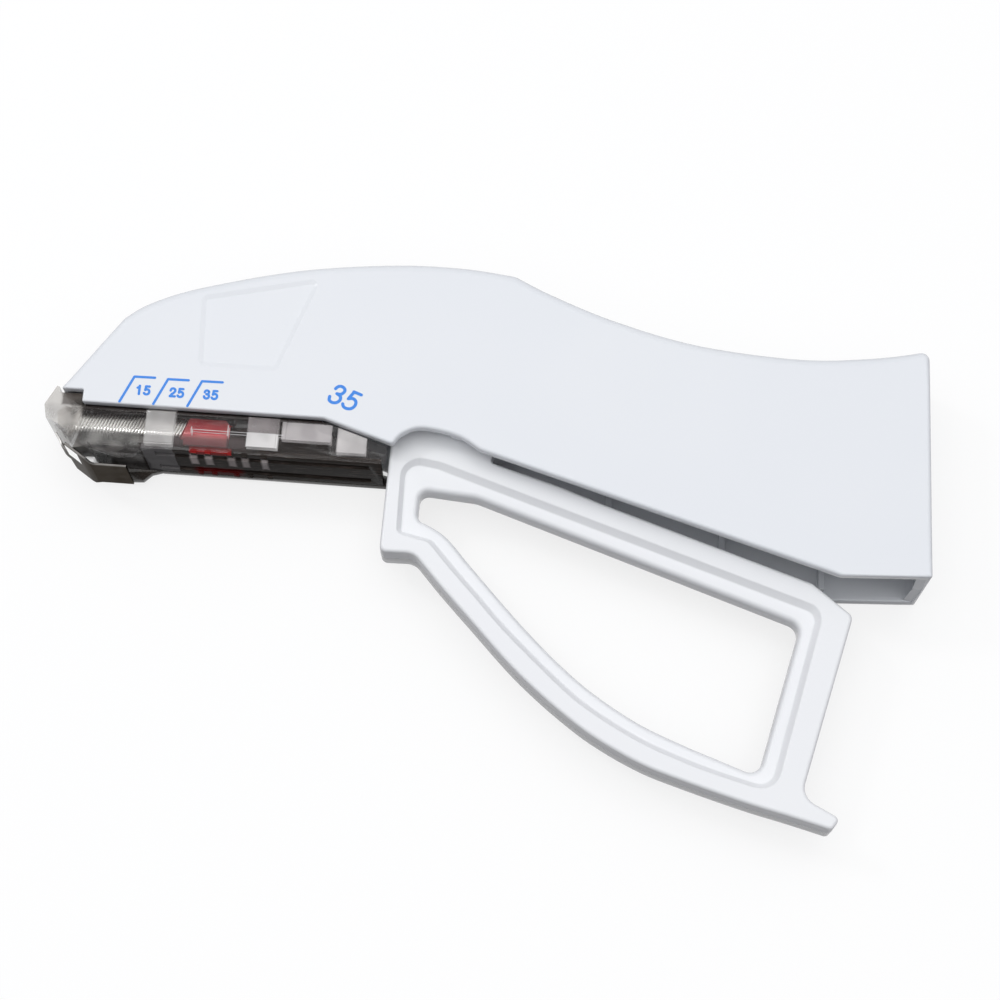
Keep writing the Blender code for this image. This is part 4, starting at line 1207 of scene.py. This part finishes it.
        for place in self.posts:
            wide = self.post_radius + self.post_flare
            foot = [(0.0, root), (wide, root), (wide, shoulder),
                    (self.post_radius, shoulder - self.post_flare),
                    (self.post_radius, 0.3), (self.post_radius - 0.2, self.parting)]
            if side > 0:
                bore, depth = self.spigot_radius + 0.1, self.spigot_length + 0.5
                top = [(bore + 0.2, self.parting), (bore, 0.3), (bore, depth), (0.0, depth)]
            else:
                pin, tip = self.spigot_radius, -self.spigot_length
                top = [(pin, self.parting), (pin, tip + 0.5), (pin - 0.4, tip), (0.0, tip)]
            turned(skin, place, heights(foot + top))
        for place, radius, near in ((TRIGGER_PIVOT, self.pivot_boss, self.pivot_near),
                                    (ROCKER_PIVOT, self.boss_radius, self.boss_near)):
            foot = radius + 0.3
            boss = [(0.0, root), (foot, root), (foot, shoulder), (radius, shoulder - 0.3),
                    (radius, near + 0.2), (radius - 0.2, near), (self.bore_radius + 0.2, near),
                    (self.bore_radius, near + 0.2), (self.bore_radius, root - 0.1),
                    (0.0, root - 0.1)]
            turned(skin, place, heights(boss))
        near, far = self.arch[0], self.loop_side_foot
        slope = (far[1] - near[1]) / (far[0] - near[0])
        for x in self.ribs:
            low = near[1] + slope * (x - near[0]) + 1.0
            high = self.grip[3][1] - 1.0
            half = self.rib_thick / 2
            corners = [(x - half, low), (x - half, high), (x + half, high), (x + half, low)]
            ends = sorted((MID + side * (MID - self.wall - self.rib_height), MID + side * root))
            rounded_plate(skin, polygon(corners, 0.2, 4), ends[0], ends[1], 0.2)

    def build(self) -> None:
        """Both shells, which stand for the two packed housings."""
        settle(self.shell(1), Body.HOUSING, HOUSING_WHITE, Slot.HOUSING, "right_housing")
        settle(self.shell(-1), Body.HOUSING, HOUSING_WHITE, Slot.HOUSING, "left_housing")


@dataclass
class Trigger:
    """Looped lever: a raised land round a sunken band, and the arm inside the housing."""

    thick: float = 7.6
    pocket: float = 1.35
    wall_widths: Sequence[float] = (0.75, 1.0, 1.08, 1.05, 1.0, 0.9)
    wall_top_round: float = 0.4
    wall_foot_round: float = 0.4
    rim: float = 0.65
    bead: float = 1.0
    bead_fall: float = 1.35
    seam: float = 0.05
    front: Sequence[Point] = ((-12.6, -24.7), (-12.3, -1.5))
    neck: Sequence[Point] = ((-5.5, 0.2), (6.3, -4.2))
    top: Sequence[Point] = ((5.7, -6.75), (18.0, -10.25), (26.4, -13.2), (63.4, -25.0))
    heel: Point = (70.55, -30.4)
    ankle: Point = (62.55, -62.6)
    toe: Point = (69.2, -65.9)
    toe_tip: Point = (67.8, -68.0)
    sole: Sequence[Point] = ((60.6, -66.2), (53.3, -64.5), (42.5, -61.5), (34.9, -59.0),
                             (27.0, -55.1), (21.0, -51.1), (15.5, -46.8), (10.7, -42.5),
                             (4.3, -36.0), (-1.5, -30.1), (-6.5, -24.6))
    loop_top: Sequence[Point] = ((-6.4, -12.4), (3.7, -13.2), (61.7, -32.3))
    loop_foot: Point = (55.3, -59.4)
    loop_sole: Sequence[Point] = ((48.8, -57.1), (42.2, -54.8), (34.4, -51.6), (26.4, -46.9),
                                  (20.4, -42.3), (14.9, -37.3), (10.0, -32.4), (3.5, -25.6),
                                  (-1.5, -20.4))
    loop_chin: Point = (-6.5, -17.8)
    land_top: Sequence[Point] = ((-10.15, -6.3), (-2.8, -7.5), (65.6, -29.5))
    land_foot: Point = (58.15, -62.6)
    land_sole: Sequence[Point] = ((48.6, -60.2), (42.1, -58.2), (34.5, -55.3), (26.5, -51.0),
                                  (20.6, -46.8), (10.3, -37.6), (3.9, -31.0), (0.1, -27.1))
    land_neck: Point = (-4.2, -22.4)
    land_chin: Point = (-9.9, -21.2)
    arm_overlap: float = 0.6
    arm_end: float = 27.0
    arm_share: float = 0.99

    def outer(self) -> Outline:
        """Outer outline, clockwise from the chin; its neck ends under the arm.

        Returns:
            The band's outer outline.
        """
        chin, brow = self.front
        return Outline([
            Run([chin, brow], 60, 1.2),
            Run([brow, self.neck[0]], 16, 3.0),
            Run(self.neck, 16, 0.4),
            Run([self.neck[1], self.top[0]], 6, 0.4),
            Run([self.top[0], self.top[1]], 30, 0.6),
            Run([self.top[1], self.top[2]], 20, 6.0),
            Run([self.top[2], self.top[3]], 86, 6.0),
            Run([self.top[3], self.heel], 16, 1.5),
            Run([self.heel, self.ankle], 76, 1.5),
            Run([self.ankle, self.toe], 14, 3.0),
            Run([self.toe, self.toe_tip], 3, 0.9),
            Run([self.toe_tip, *self.sole], 200, 0.9),
            Run([self.sole[-1], chin], 12, 3.2),
        ])

    def loop(self) -> Outline:
        """Finger loop, clockwise from its chin.

        Returns:
            The loop's outline.
        """
        front, bend, rear = self.loop_top
        return Outline([
            Run([self.loop_chin, front], 20, 1.6),
            Run([front, bend], 24, 1.6),
            Run([bend, rear], 140, 4.0),
            Run([rear, self.loop_foot], 60, 2.2),
            Run([self.loop_foot, *self.loop_sole, self.loop_chin], 200, 2.2),
        ])

    def land(self) -> Outline:
        """Inner edge of the raised land, clockwise from its chin.

        Returns:
            The land's inner outline.
        """
        front, bend, rear = self.land_top
        return Outline([
            Run([self.land_chin, front], 24, 1.4),
            Run([front, bend], 16, 3.5),
            Run([bend, rear], 150, 5.0),
            Run([rear, self.land_foot], 60, 3.0),
            Run([self.land_foot, *self.land_sole, self.land_neck], 200, 3.6),
            Run([self.land_neck, self.land_chin], 12, 1.4),
        ])

    def band_piece(self) -> bpy.types.Object:
        """The looped band as one closed skin.

        Its section is a thin edge round the finger loop with two quarter ellipses, a flat floor, a
        slanted wall with rounded creases, the flat land, and a rounded outer rim with a fine ridge.

        Returns:
            The band's object.
        """
        outer, loop, land = self.outer(), self.loop(), self.land()
        half = self.thick / 2
        low = half - self.pocket
        skin = Skin()

        upper = [lift(loop.ring(-self.bead - FLAT), MID + low)]
        upper += [lift(loop.ring(-self.bead * share), MID + low - self.bead_fall * drop)
                  for share, drop in zip(*quarter(9))]
        bead = [mirrored(ring) for ring in upper] + upper[::-1]
        skin.grid(bead)

        widest = max(self.wall_widths)
        section = slanted_wall(widest, self.pocket, self.wall_top_round, self.wall_foot_round)
        step = [lift(land.ring([inset * width / widest for width in self.wall_widths]),
                     MID + half - drop) for inset, drop in section]

        rims = soften(outer.spread([self.rim, 0.4, 0.06, 0.2] + [self.rim] * 9), 3)
        inward, down = quarter(7)
        rim = [lift(outer.varied(rims + FLAT), MID + half)]
        rim += [lift(outer.varied(rims * share), MID + half - rims * drop)
                for share, drop in zip(inward, down)]
        ridge = [lift(outer.ring(0.0), MID + 0.12), lift(outer.ring(-self.seam), MID)]
        wall = rim + ridge
        skin.grid(wall + [mirrored(ring) for ring in wall[::-1][1:]])

        land_cuts = [(self.front[0], self.land_chin), (self.heel, self.land_top[2])]
        floor_cuts = [(self.land_chin, self.loop_chin), (self.land_top[2], self.loop_top[2])]
        for place in (lambda ring: ring, mirrored):
            skin.grid([place(ring) for ring in step])
            skin.frame(place(rim[0]), place(step[0]), land_cuts)
            skin.frame(place(step[-1]), place(bead[-1]), floor_cuts)
        return skin.piece("trigger_loop")

    def arm_piece(self) -> bpy.types.Object:
        """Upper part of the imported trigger, a little thinner than the band that it runs into.

        Returns:
            The arm's object.
        """
        made = fine_copy("trigger", "trigger_arm", 0.25)
        run = np.subtract(self.neck[1], self.neck[0])
        run = run / np.linalg.norm(run)
        down = np.array([run[1], -run[0]])
        place = np.array(self.neck[0]) + down * self.arm_overlap
        cuts = [((*place, 0.0), (*down, 0.0)), ((self.arm_end, 0.0, 0.0), (1.0, 0.0, 0.0))]
        work = bmesh.new()
        work.from_mesh(made.data)
        for spot, away in cuts:
            geometry = work.verts[:] + work.edges[:] + work.faces[:]
            bmesh.ops.bisect_plane(work, geom=geometry, plane_co=tuple(v * MM for v in spot),
                                   plane_no=away, clear_outer=True)
            rims = [edge for edge in work.edges if edge.is_boundary]
            bmesh.ops.holes_fill(work, edges=rims)
        bmesh.ops.scale(work, vec=(1.0, 1.0, self.arm_share), verts=work.verts,
                        space=Matrix.Translation((0.0, 0.0, -MID * MM)))
        bmesh.ops.recalc_face_normals(work, faces=work.faces)
        work.to_mesh(made.data)
        work.free()
        return made

    def build(self) -> None:
        """Band and arm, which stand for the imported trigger."""
        settle(self.band_piece(), Body.TRIGGER, TRIGGER_WHITE, Slot.TRIGGER, "trigger")
        settle(self.arm_piece(), Body.TRIGGER, TRIGGER_WHITE, Slot.TRIGGER, "trigger")


@dataclass
class StapleRow:
    """The row of wide staples: round wire bent to a U, leaning forward."""

    count: int = 35
    pitch: float = 0.565
    wire: float = 0.25
    width: float = 7.0
    leg: float = 3.9
    corner: float = 0.55
    point: float = 0.35

    def _path(self, shift: float) -> np.ndarray:
        """Centre line of one staple: leg, corner arc, crown, corner arc, leg.

        Args:
            shift: How far down the row it stands.

        Returns:
            The line's points.
        """
        half = self.width / 2 - self.wire
        angle = np.linspace(math.pi / 2, 0.0, 7)
        bend = np.column_stack([half - self.corner + self.corner * np.cos(angle),
                                -self.corner + self.corner * np.sin(angle)])
        fall = np.linspace(-self.corner, -self.leg + self.point, 5)[1:]
        leg = np.column_stack([np.full(len(fall), half), fall])
        side = np.vstack([bend, leg])
        crown = np.column_stack([np.linspace(-half + self.corner, half - self.corner, 8)[1:-1],
                                 np.zeros(6)])
        flat = np.vstack([side[::-1] * (-1.0, 1.0), crown, side])
        x = FIRST_STAPLE[0] + shift + flat[:, 1] * math.sin(STAPLE_LEAN)
        y = FIRST_STAPLE[1] + flat[:, 1] * math.cos(STAPLE_LEAN)
        return np.column_stack([x, y, MID + flat[:, 0]])

    def _sharpened(self, skin: Skin, shift: float) -> None:
        """One staple with its wire tapered to a point below each leg.

        Args:
            skin: Where the surface goes.
            shift: How far down the row it stands.
        """
        path = self._path(shift)
        down = np.array([math.sin(STAPLE_LEAN), math.cos(STAPLE_LEAN), 0.0]) * -self.point
        tube(skin, path, self.wire)
        angle = np.linspace(0.0, 2 * math.pi, 10, endpoint=False)
        flat = np.column_stack([np.cos(angle) * math.cos(STAPLE_LEAN),
                                -np.cos(angle) * math.sin(STAPLE_LEAN), np.sin(angle)])
        # Three rings: just inside the wire, half as wide part of the way down, and the point.
        for end in (path[0], path[-1]):
            skin.drum([end + flat * self.wire * 0.96, end + down * 0.6 + flat * self.wire * 0.5,
                       end + down + flat * 0.02])

    def build(self) -> None:
        """The first staple by itself, and the rest as one piece."""
        first = Skin()
        self._sharpened(first, 0.0)
        settle(first.piece("leading_staple"), Body.FIRST_STAPLE, STAPLE_STEEL, Slot.STAPLE,
               "staple_01")
        rest = Skin()
        for index in range(1, self.count):
            self._sharpened(rest, index * self.pitch)
        names = [f"staple_{index + 1:02d}" for index in range(1, self.count)]
        settle(rest.piece("staple_row"), Body.HOUSING, STAPLE_STEEL, Slot.STAPLE, *names)


@dataclass
class Springs:
    """The follower's long coil and the trigger's return coil."""

    follower_wire: float = 0.2
    follower_radius: float = 1.3
    follower_turns: int = 19
    follower_travel: float = 4.0
    return_wire: float = 0.35
    return_radius: float = 2.2
    return_turns: int = 7
    return_travel: float = 3.1

    STEPS = 28
    DEAD_TURNS = 0.6
    DEAD_PITCH = 0.06

    @staticmethod
    def _helix(start: np.ndarray, end: np.ndarray, radius: float, turns: int) -> np.ndarray:
        """Helix between two points, its pitch closed up in the last turn at each end.

        The angle runs evenly. The distance along the axis is the angle's share, eased at both
        ends so that the end turns lie side by side.

        Args:
            start: One end of the axis.
            end: The other end.
            radius: Radius of the centre line.
            turns: How many turns.

        Returns:
            The centre line's points.
        """
        share = np.linspace(0.0, 1.0, turns * Springs.STEPS + 1)
        dead = Springs.DEAD_TURNS / turns
        eased = np.clip((share - dead) / (1 - 2 * dead), 0.0, 1.0)
        place = Springs.DEAD_PITCH * share + (1 - Springs.DEAD_PITCH) * eased
        axis = (end - start) / np.linalg.norm(end - start)
        across = np.array([0.0, 0.0, 1.0])
        other = np.cross(axis, across)
        angle = 2 * math.pi * turns * share[:, None]
        return (start + (end - start) * place[:, None]
                + (across * np.cos(angle) + other * np.sin(angle)) * radius)

    def build(self) -> None:
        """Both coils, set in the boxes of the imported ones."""
        self._coil("follower_spring", "follower_coil", 0, self.follower_radius, self.follower_wire,
                   self.follower_turns, "follower_travel", self.follower_travel)
        self._coil("return_spring", "return_coil", 1, self.return_radius, self.return_wire,
                   self.return_turns, "lever_rock", self.return_travel)

    @staticmethod
    def _coil(node: str, name: str, axis: int, radius: float, wire: float, turns: int, joint: str,
              travel: float) -> None:
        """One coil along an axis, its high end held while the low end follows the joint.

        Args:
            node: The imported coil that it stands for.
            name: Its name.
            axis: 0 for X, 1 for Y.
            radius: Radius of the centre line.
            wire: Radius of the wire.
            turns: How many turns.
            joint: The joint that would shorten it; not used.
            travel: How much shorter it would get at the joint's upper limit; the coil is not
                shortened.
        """
        low, high = (np.array(corner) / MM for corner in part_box(node))
        middle = (low + high) / 2
        start, end = middle.copy(), middle.copy()
        start[axis] = low[axis] + wire
        end[axis] = high[axis] - wire
        skin = Skin()
        tube(skin, Springs._helix(start, end, radius, turns), wire)
        made = settle(skin.piece(name), Body.HOUSING, SPRING_STEEL, Slot.STEEL, node)
        length = end[axis] - start[axis]
        anchor = tuple(float(value) * MM for value in end)
        1.0 - travel / length
        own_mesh(made)


@dataclass
class Cartridge:
    """Clear cartridge: cover, base, end cap, anvil, ejector and the red follower."""

    copies: Sequence[Copy] = (
        Copy("cartridge_cover", "clear_cover", 0.12, Body.HOUSING, COVER_CLEAR, Slot.CLEAR),
        # The clear base wears the near-black finish: painted shade.
        Copy("cartridge_base", "clear_base", 0.1, Body.HOUSING, CORE_PAINTED_SHADE, Slot.CLEAR),
        Copy("cartridge_end_cap", "clear_end_cap", 0.15, Body.HOUSING, COVER_CLEAR, Slot.CLEAR),
        Copy("ejector_spring", "ejector_leaf", 0.05, Body.HOUSING, PLATE_STEEL, Slot.STEEL),
        Copy("follower", "red_follower", 0.2, Body.FOLLOWER, FOLLOWER_RED, Slot.RED),
    )
    anvil_line: Sequence[Point] = ((-72.75, -6.3), (-72.1, -7.2), (-71.25, -8.6), (-71.0, -8.95),
                                   (-70.6, -9.3), (-69.95, -9.73), (-69.7, -9.9), (-66.4, -12.1),
                                   (-65.7, -12.45), (-65.0, -12.75), (-64.3, -12.8), (-58.6, -12.8))
    anvil_half: Sequence[float] = (1.9, 1.9, 1.9, 1.9, 1.9, 1.9, 6.6, 6.6, 6.3, 5.2, 4.7, 4.7)
    anvil_thick: float = 0.45
    # Line, height span and thickness of the bright sheet on the anvil plate: a painted highlight.
    highlight_line: Sequence[Point] = ((-69.6, -10.05), (-67.1, -11.72))
    highlight_span: Point = (10.4, 15.2)
    highlight_thick: float = 0.25
    sheet_edge: float = 0.08

    def _sheet(self, name: str, points: Sequence[Point], lows: Sequence[float],
               highs: Sequence[float], thick: float) -> bpy.types.Object:
        """Bent sheet: each ring is a rectangle with cut corners, square to the sheet's line.

        Args:
            name: The piece's name.
            points: The line of its outer face.
            lows: Its lower side at each point.
            highs: Its upper side at each point.
            thick: Its thickness, inwards.

        Returns:
            The sheet's object.
        """
        line = np.array(points)
        share = np.arange(len(line))
        fine = np.linspace(0, len(line) - 1, 6 * (len(line) - 1) + 1)
        flat = np.stack([np.interp(fine, share, line[:, k]) for k in range(2)], axis=1)
        low, high = np.interp(fine, share, lows), np.interp(fine, share, highs)
        along = np.gradient(flat, axis=0)
        along /= np.linalg.norm(along, axis=1)[:, None]
        inward = np.column_stack([-along[:, 1], along[:, 0]])
        edge = self.sheet_edge
        corners = [(0.0, low + edge), (0.0, high - edge), (edge, high), (thick - edge, high),
                   (thick, high - edge), (thick, low + edge), (thick - edge, low), (edge, low)]
        rings = np.stack([np.column_stack([flat + inward * depth, side])
                          for depth, side in corners], axis=1)
        skin = Skin()
        skin.drum(rings)
        return skin.piece(name, 40.0)

    def build(self) -> None:
        """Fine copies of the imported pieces, and the anvil's two sheets."""
        for copy in self.copies:
            copy.build()
        half = np.array(self.anvil_half)
        # The plate's near-black steel is a painted dark reflection.
        plate = self._sheet("anvil_plate", self.anvil_line, MID - half, MID + half,
                            self.anvil_thick)
        settle(plate, Body.HOUSING, ANVIL_STEEL_PAINTED_REFLECTIONS, Slot.STEEL, "anvil")
        # A thin bright sheet on the anvil plate: a painted highlight.
        ends = [[value, value] for value in self.highlight_span]
        land = self._sheet("anvil_painted_highlight", self.highlight_line, ends[0], ends[1], self.highlight_thick)
        settle(land, Body.HOUSING, ANVIL_PAINTED_HIGHLIGHT, Slot.STEEL, "anvil")


@dataclass
class Mechanism:
    """Rocker, former and pins inside the housing."""

    copies: Sequence[Copy] = (
        Copy("drive_lever", "rocker", 0.25, Body.ROCKER, NYLON_GREY, Slot.NYLON),
        Copy("drive_pin", "rocker_pin", 0.15, Body.ROCKER, PIN_STEEL, Slot.STEEL),
        Copy("former", "former_plate", 0.08, Body.FORMER, PLATE_STEEL, Slot.STEEL),
        Copy("trigger_pin", "trigger_pin_turned", 0.2, Body.HOUSING, PIN_STEEL, Slot.STEEL),
        Copy("lever_pin", "lever_pin_turned", 0.2, Body.HOUSING, PIN_STEEL, Slot.STEEL),
    )

    def build(self) -> None:
        """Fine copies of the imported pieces."""
        for copy in self.copies:
            copy.build()


class Digit(Enum):
    """Generic digits."""

    ONE = "1"
    TWO = "2"
    THREE = "3"
    FIVE = "5"

    def strokes(self) -> list[np.ndarray]:
        """Centre lines of its strokes, finer where two points make a straight one."""
        return [catmull(points, 24 if len(points) == 2 else 8) for points in STROKES[self]]


# The strokes' points on a grid one unit high; each stroke is a smooth line through them.
STROKES = {
    Digit.ONE: (((0.12, 0.74), (0.34, 0.86)), ((0.34, 0.98), (0.34, 0.0))),
    Digit.TWO: (((0.05, 0.70), (0.12, 0.90), (0.31, 0.97), (0.52, 0.88), (0.56, 0.68),
                 (0.42, 0.46), (0.20, 0.26), (0.06, 0.04)),
                ((0.03, 0.04), (0.58, 0.04))),
    Digit.THREE: (((0.06, 0.74), (0.13, 0.91), (0.30, 0.97), (0.48, 0.89), (0.52, 0.74),
                   (0.44, 0.58), (0.26, 0.53)),
                  ((0.26, 0.53), (0.48, 0.47), (0.57, 0.28), (0.48, 0.09), (0.29, 0.02),
                   (0.11, 0.08), (0.03, 0.26))),
    Digit.FIVE: (((0.11, 0.52), (0.30, 0.62), (0.50, 0.54), (0.58, 0.33), (0.50, 0.11),
                  (0.29, 0.02), (0.11, 0.06), (0.01, 0.17)),
                 ((0.11, 0.52), (0.17, 0.96)), ((0.15, 0.96), (0.55, 0.96))),
}


@dataclass
class Prints:
    """Blue pad prints on the near face: three count marks and the count."""

    lift_off: float = 0.008
    thick: float = 0.014
    step: float = 0.006
    marks: Sequence[tuple[str, Point]] = (("15", (-60.35, -2.1)), ("25", (-54.35, -2.15)),
                                          ("35", (-48.3, -2.1)))
    mark_rise: Point = (2.05, 4.85)
    mark_run: Point = (3.65, 0.05)
    mark_line: float = 0.46
    digit_height: float = 1.6
    digit_line: float = 0.45
    digit_pitch: float = 0.88
    digit_place: Point = (2.68, 1.62)
    count_place: Point = (-23.95, 0.75)
    count_height: float = 3.6
    count_turn: float = math.radians(-20.0)
    count_slant: float = 0.12
    count_pitch: float = 0.78
    count_line: float = 0.58

    def _stroke(self, skin: Skin, line: np.ndarray, width: float, layer: int) -> None:
        """Flat ribbon with round ends along a line in the plane.

        Both edges are the line moved sideways by half the width along its normal. Each end is a
        half circle, so the ribbon's outline is one closed ring, closed above, below and around.
        Each layer lies a step above the last, so strokes that cross share no plane.

        Args:
            skin: Where the surface goes.
            line: The stroke's centre line.
            width: Its width.
            layer: How many steps it lies above the first one.
        """
        along = np.gradient(line, axis=0)
        along /= np.linalg.norm(along, axis=1)[:, None]
        normal = np.column_stack([-along[:, 1], along[:, 0]])
        half = width / 2
        angle = np.linspace(-math.pi / 2, math.pi / 2, 7)[1:-1, None]
        tail = line[-1] + half * (along[-1] * np.cos(angle) + normal[-1] * np.sin(angle))
        head = line[0] - half * (along[0] * np.cos(angle) + normal[0] * np.sin(angle))
        right, left = line - normal * half, line + normal * half
        ring = np.vstack([right, tail, left[::-1], head])
        low = WIDTH + self.lift_off + layer * self.step
        high = low + self.thick
        for height in (low, high):
            skin.grid([lift(right, height), lift(left, height)], closed=False)
            skin.cap(lift(np.vstack([left[-1:], right[-1:], tail]), height))
            skin.cap(lift(np.vstack([right[:1], left[:1], head]), height))
        skin.grid([lift(ring, low), lift(ring, high)])

    def _number(self, skin: Skin, text: str, corner: Point, height: float, line: float,
                pitch: float, turn: float = 0.0, slant: float = 0.0) -> None:
        """A number, leaned by the slant and turned in the plane.

        Args:
            skin: Where the surfaces go.
            text: The number.
            corner: Its lower left corner.
            height: Its height.
            line: Width of the strokes.
            pitch: From one digit to the next, as a share of the height.
            turn: Angle in the plane, in radians.
            slant: Sideways lean as a share of the height.
        """
        spin = np.array([[math.cos(turn), math.sin(turn)], [-math.sin(turn), math.cos(turn)]])
        lean = np.array([[1.0, 0.0], [slant, 1.0]])
        for place, letter in enumerate(text):
            for layer, stroke in enumerate(Digit(letter).strokes()):
                flat = (stroke @ lean + (place * pitch, 0.0)) * height
                self._stroke(skin, flat @ spin + corner, line, layer)

    def build(self) -> None:
        """Each mark with its number, and the large count."""
        for text, foot in self.marks:
            skin = Skin()
            knee = (foot[0] + self.mark_rise[0], foot[1] + self.mark_rise[1])
            end = (knee[0] + self.mark_run[0], knee[1] + self.mark_run[1])
            for layer, ends in enumerate(([foot, knee], [knee, end])):
                self._stroke(skin, catmull(ends), self.mark_line, layer)
            corner = (foot[0] + self.digit_place[0], foot[1] + self.digit_place[1])
            self._number(skin, text, corner, self.digit_height, self.digit_line, self.digit_pitch)
            settle(skin.piece(f"print_mark_{text}"), Body.HOUSING, PRINT_BLUE, None)
        skin = Skin()
        self._number(skin, "35", self.count_place, self.count_height, self.count_line,
                     self.count_pitch, self.count_turn, self.count_slant)
        settle(skin.piece("print_count"), Body.HOUSING, PRINT_BLUE, None)


@dataclass
class Studio:
    """White floor, soft lamps, and the camera at the photograph's angle."""

    floor_size: float = 3.0
    floor_white: float = 0.78
    floor_drop: float = 0.00005
    camera_place: tuple[float, float, float] = (0.01683, -0.13575, 0.37835)
    camera_right: tuple[float, float, float] = (0.99731, 0.07324, 0.0)
    camera_up: tuple[float, float, float] = (-0.06945, 0.94577, 0.3173)
    camera_back: tuple[float, float, float] = (0.02324, -0.31645, 0.9483)
    lens: float = 78.66
    sensor: float = 36.0
    floor_dark: Colour = (0.07, 0.07, 0.075)
    world_low: float = 0.03
    world_high: float = 0.88
    sky_low: Colour = (0.90, 0.86, 1.0)
    sky_high: Colour = (0.97, 0.985, 1.0)

    def _shown(self, sheet: Sheet) -> Wire:
        """1 for rays that show the background: seen, mirrored or through glass.

        Args:
            sheet: The nodes of the floor or the world.

        Returns:
            1 for such rays and 0 for the others.
        """
        path = sheet.node("ShaderNodeLightPath", {}, {}, "Is Camera Ray").socket.node
        rays = [Wire(sheet, path.outputs[name])
                for name in ("Is Camera Ray", "Is Glossy Ray", "Is Transmission Ray")]
        return rays[0].most(rays[1]).most(rays[2])

    def floor(self) -> None:
        """White floor that keeps a soft shadow and throws little light back."""
        low = CAD_BOX[0].z - self.floor_drop
        half = self.floor_size / 2
        corners = [(-half, -half, low), (half, -half, low), (half, half, low), (-half, half, low)]
        mesh = bpy.data.meshes.new("floor")
        mesh.from_pydata(corners, [], [(0, 1, 2, 3)])
        paint = bpy.data.materials.new("studio_floor")
        paint.use_nodes = True
        sheet = Sheet(paint.node_tree)
        glow = sheet.node("ShaderNodeEmission", {}, {"Color": WHITE, "Strength": 1.0})
        pale = sheet.node("ShaderNodeBsdfDiffuse", {}, {"Color": WHITE})
        seen = sheet.node("ShaderNodeMixShader", {}, {0: 1.0 - self.floor_white, 1: glow, 2: pale})
        grey = sheet.node("ShaderNodeBsdfDiffuse", {}, {"Color": (*self.floor_dark, 1.0)})
        share = self._shown(sheet)
        sheet.surface(sheet.node("ShaderNodeMixShader", {}, {0: share, 1: grey, 2: seen}))
        mesh.materials.append(paint)
        linked("floor", mesh)

    def world(self) -> None:
        """White to the camera; to the object, a sky bright above, darker low down and in front."""
        world = bpy.data.worlds.new("studio")
        bpy.context.scene.world = world
        world.use_nodes = True
        sheet = Sheet(world.node_tree)
        direction = sheet.node("ShaderNodeTexCoord", {}, {}, "Generated")
        split = sheet.node("ShaderNodeSeparateXYZ", {}, {0: direction}).socket.node
        above = Wire(sheet, split.outputs[2]).ramp(-0.05, 0.9)
        front = 0.4 + 0.6 * Wire(sheet, split.outputs[1]).ramp(-1.0, -0.1)
        level = self.world_low + (self.world_high - self.world_low) * above * front
        tint = sheet.blend(above, self.sky_low, self.sky_high)
        sky = sheet.node("ShaderNodeBackground", {}, {"Color": tint, "Strength": level})
        white = sheet.node("ShaderNodeBackground", {}, {"Color": WHITE, "Strength": 1.0})
        mixed = sheet.node("ShaderNodeMixShader", {}, {0: self._shown(sheet), 1: sky, 2: white})
        sheet.node("ShaderNodeOutputWorld", {}, {"Surface": mixed})

    def lamp(self, name: str, place: tuple[float, float, float], size: float,
             power: float) -> None:
        """Square soft box that faces the origin.

        Args:
            name: The lamp's name.
            place: Its place in metres.
            size: Edge length in metres.
            power: Watts.
        """
        data = bpy.data.lights.new(name, "AREA")
        data.shape = "SQUARE"
        data.size = size
        data.energy = power
        back = np.array(place) / np.linalg.norm(place)
        right = np.cross((0.0, 1.0, 0.0), back)
        right /= np.linalg.norm(right)
        linked(name, data).matrix_world = frame_of(right, np.cross(back, right), back, place)

    def camera(self) -> None:
        """Camera fitted to the photograph, for an image as wide as it is high."""
        data = bpy.data.cameras.new("camera")
        data.lens = self.lens
        data.sensor_width = self.sensor
        data.sensor_height = self.sensor
        data.sensor_fit = "AUTO"
        data.clip_start = 0.01
        data.clip_end = 10.0
        made = linked("camera", data)
        made.matrix_world = frame_of(self.camera_right, self.camera_up, self.camera_back,
                                     self.camera_place)
        bpy.context.scene.camera = made

    def build(self) -> None:
        """Everything round the object."""
        bpy.context.scene.view_settings.view_transform = "Standard"
        self.floor()
        self.world()
        self.lamp("wide", (0.0, 0.12, 1.15), 1.1, 5.0)
        self.lamp("small", (-0.62, 0.3, 0.8), 0.16, 1.1)
        self.camera()


def frame_of(right: Sequence[float], up: Sequence[float], back: Sequence[float],
             place: Sequence[float]) -> Matrix:
    """Matrix of an object from its three axes and its place."""
    rows = [[right[k], up[k], back[k], place[k]] for k in range(3)]
    return Matrix(rows + [[0.0, 0.0, 0.0, 1.0]])


def main() -> None:
    """Build every sub-assembly, then the studio."""
    logging.basicConfig(level=logging.INFO, format="%(name)s: %(message)s")
    for part in (Housing(), Trigger(), Cartridge(), StapleRow(), Springs(), Mechanism(), Prints(),
                 Studio()):
        part.build()


if __name__ == "__main__":
    main()
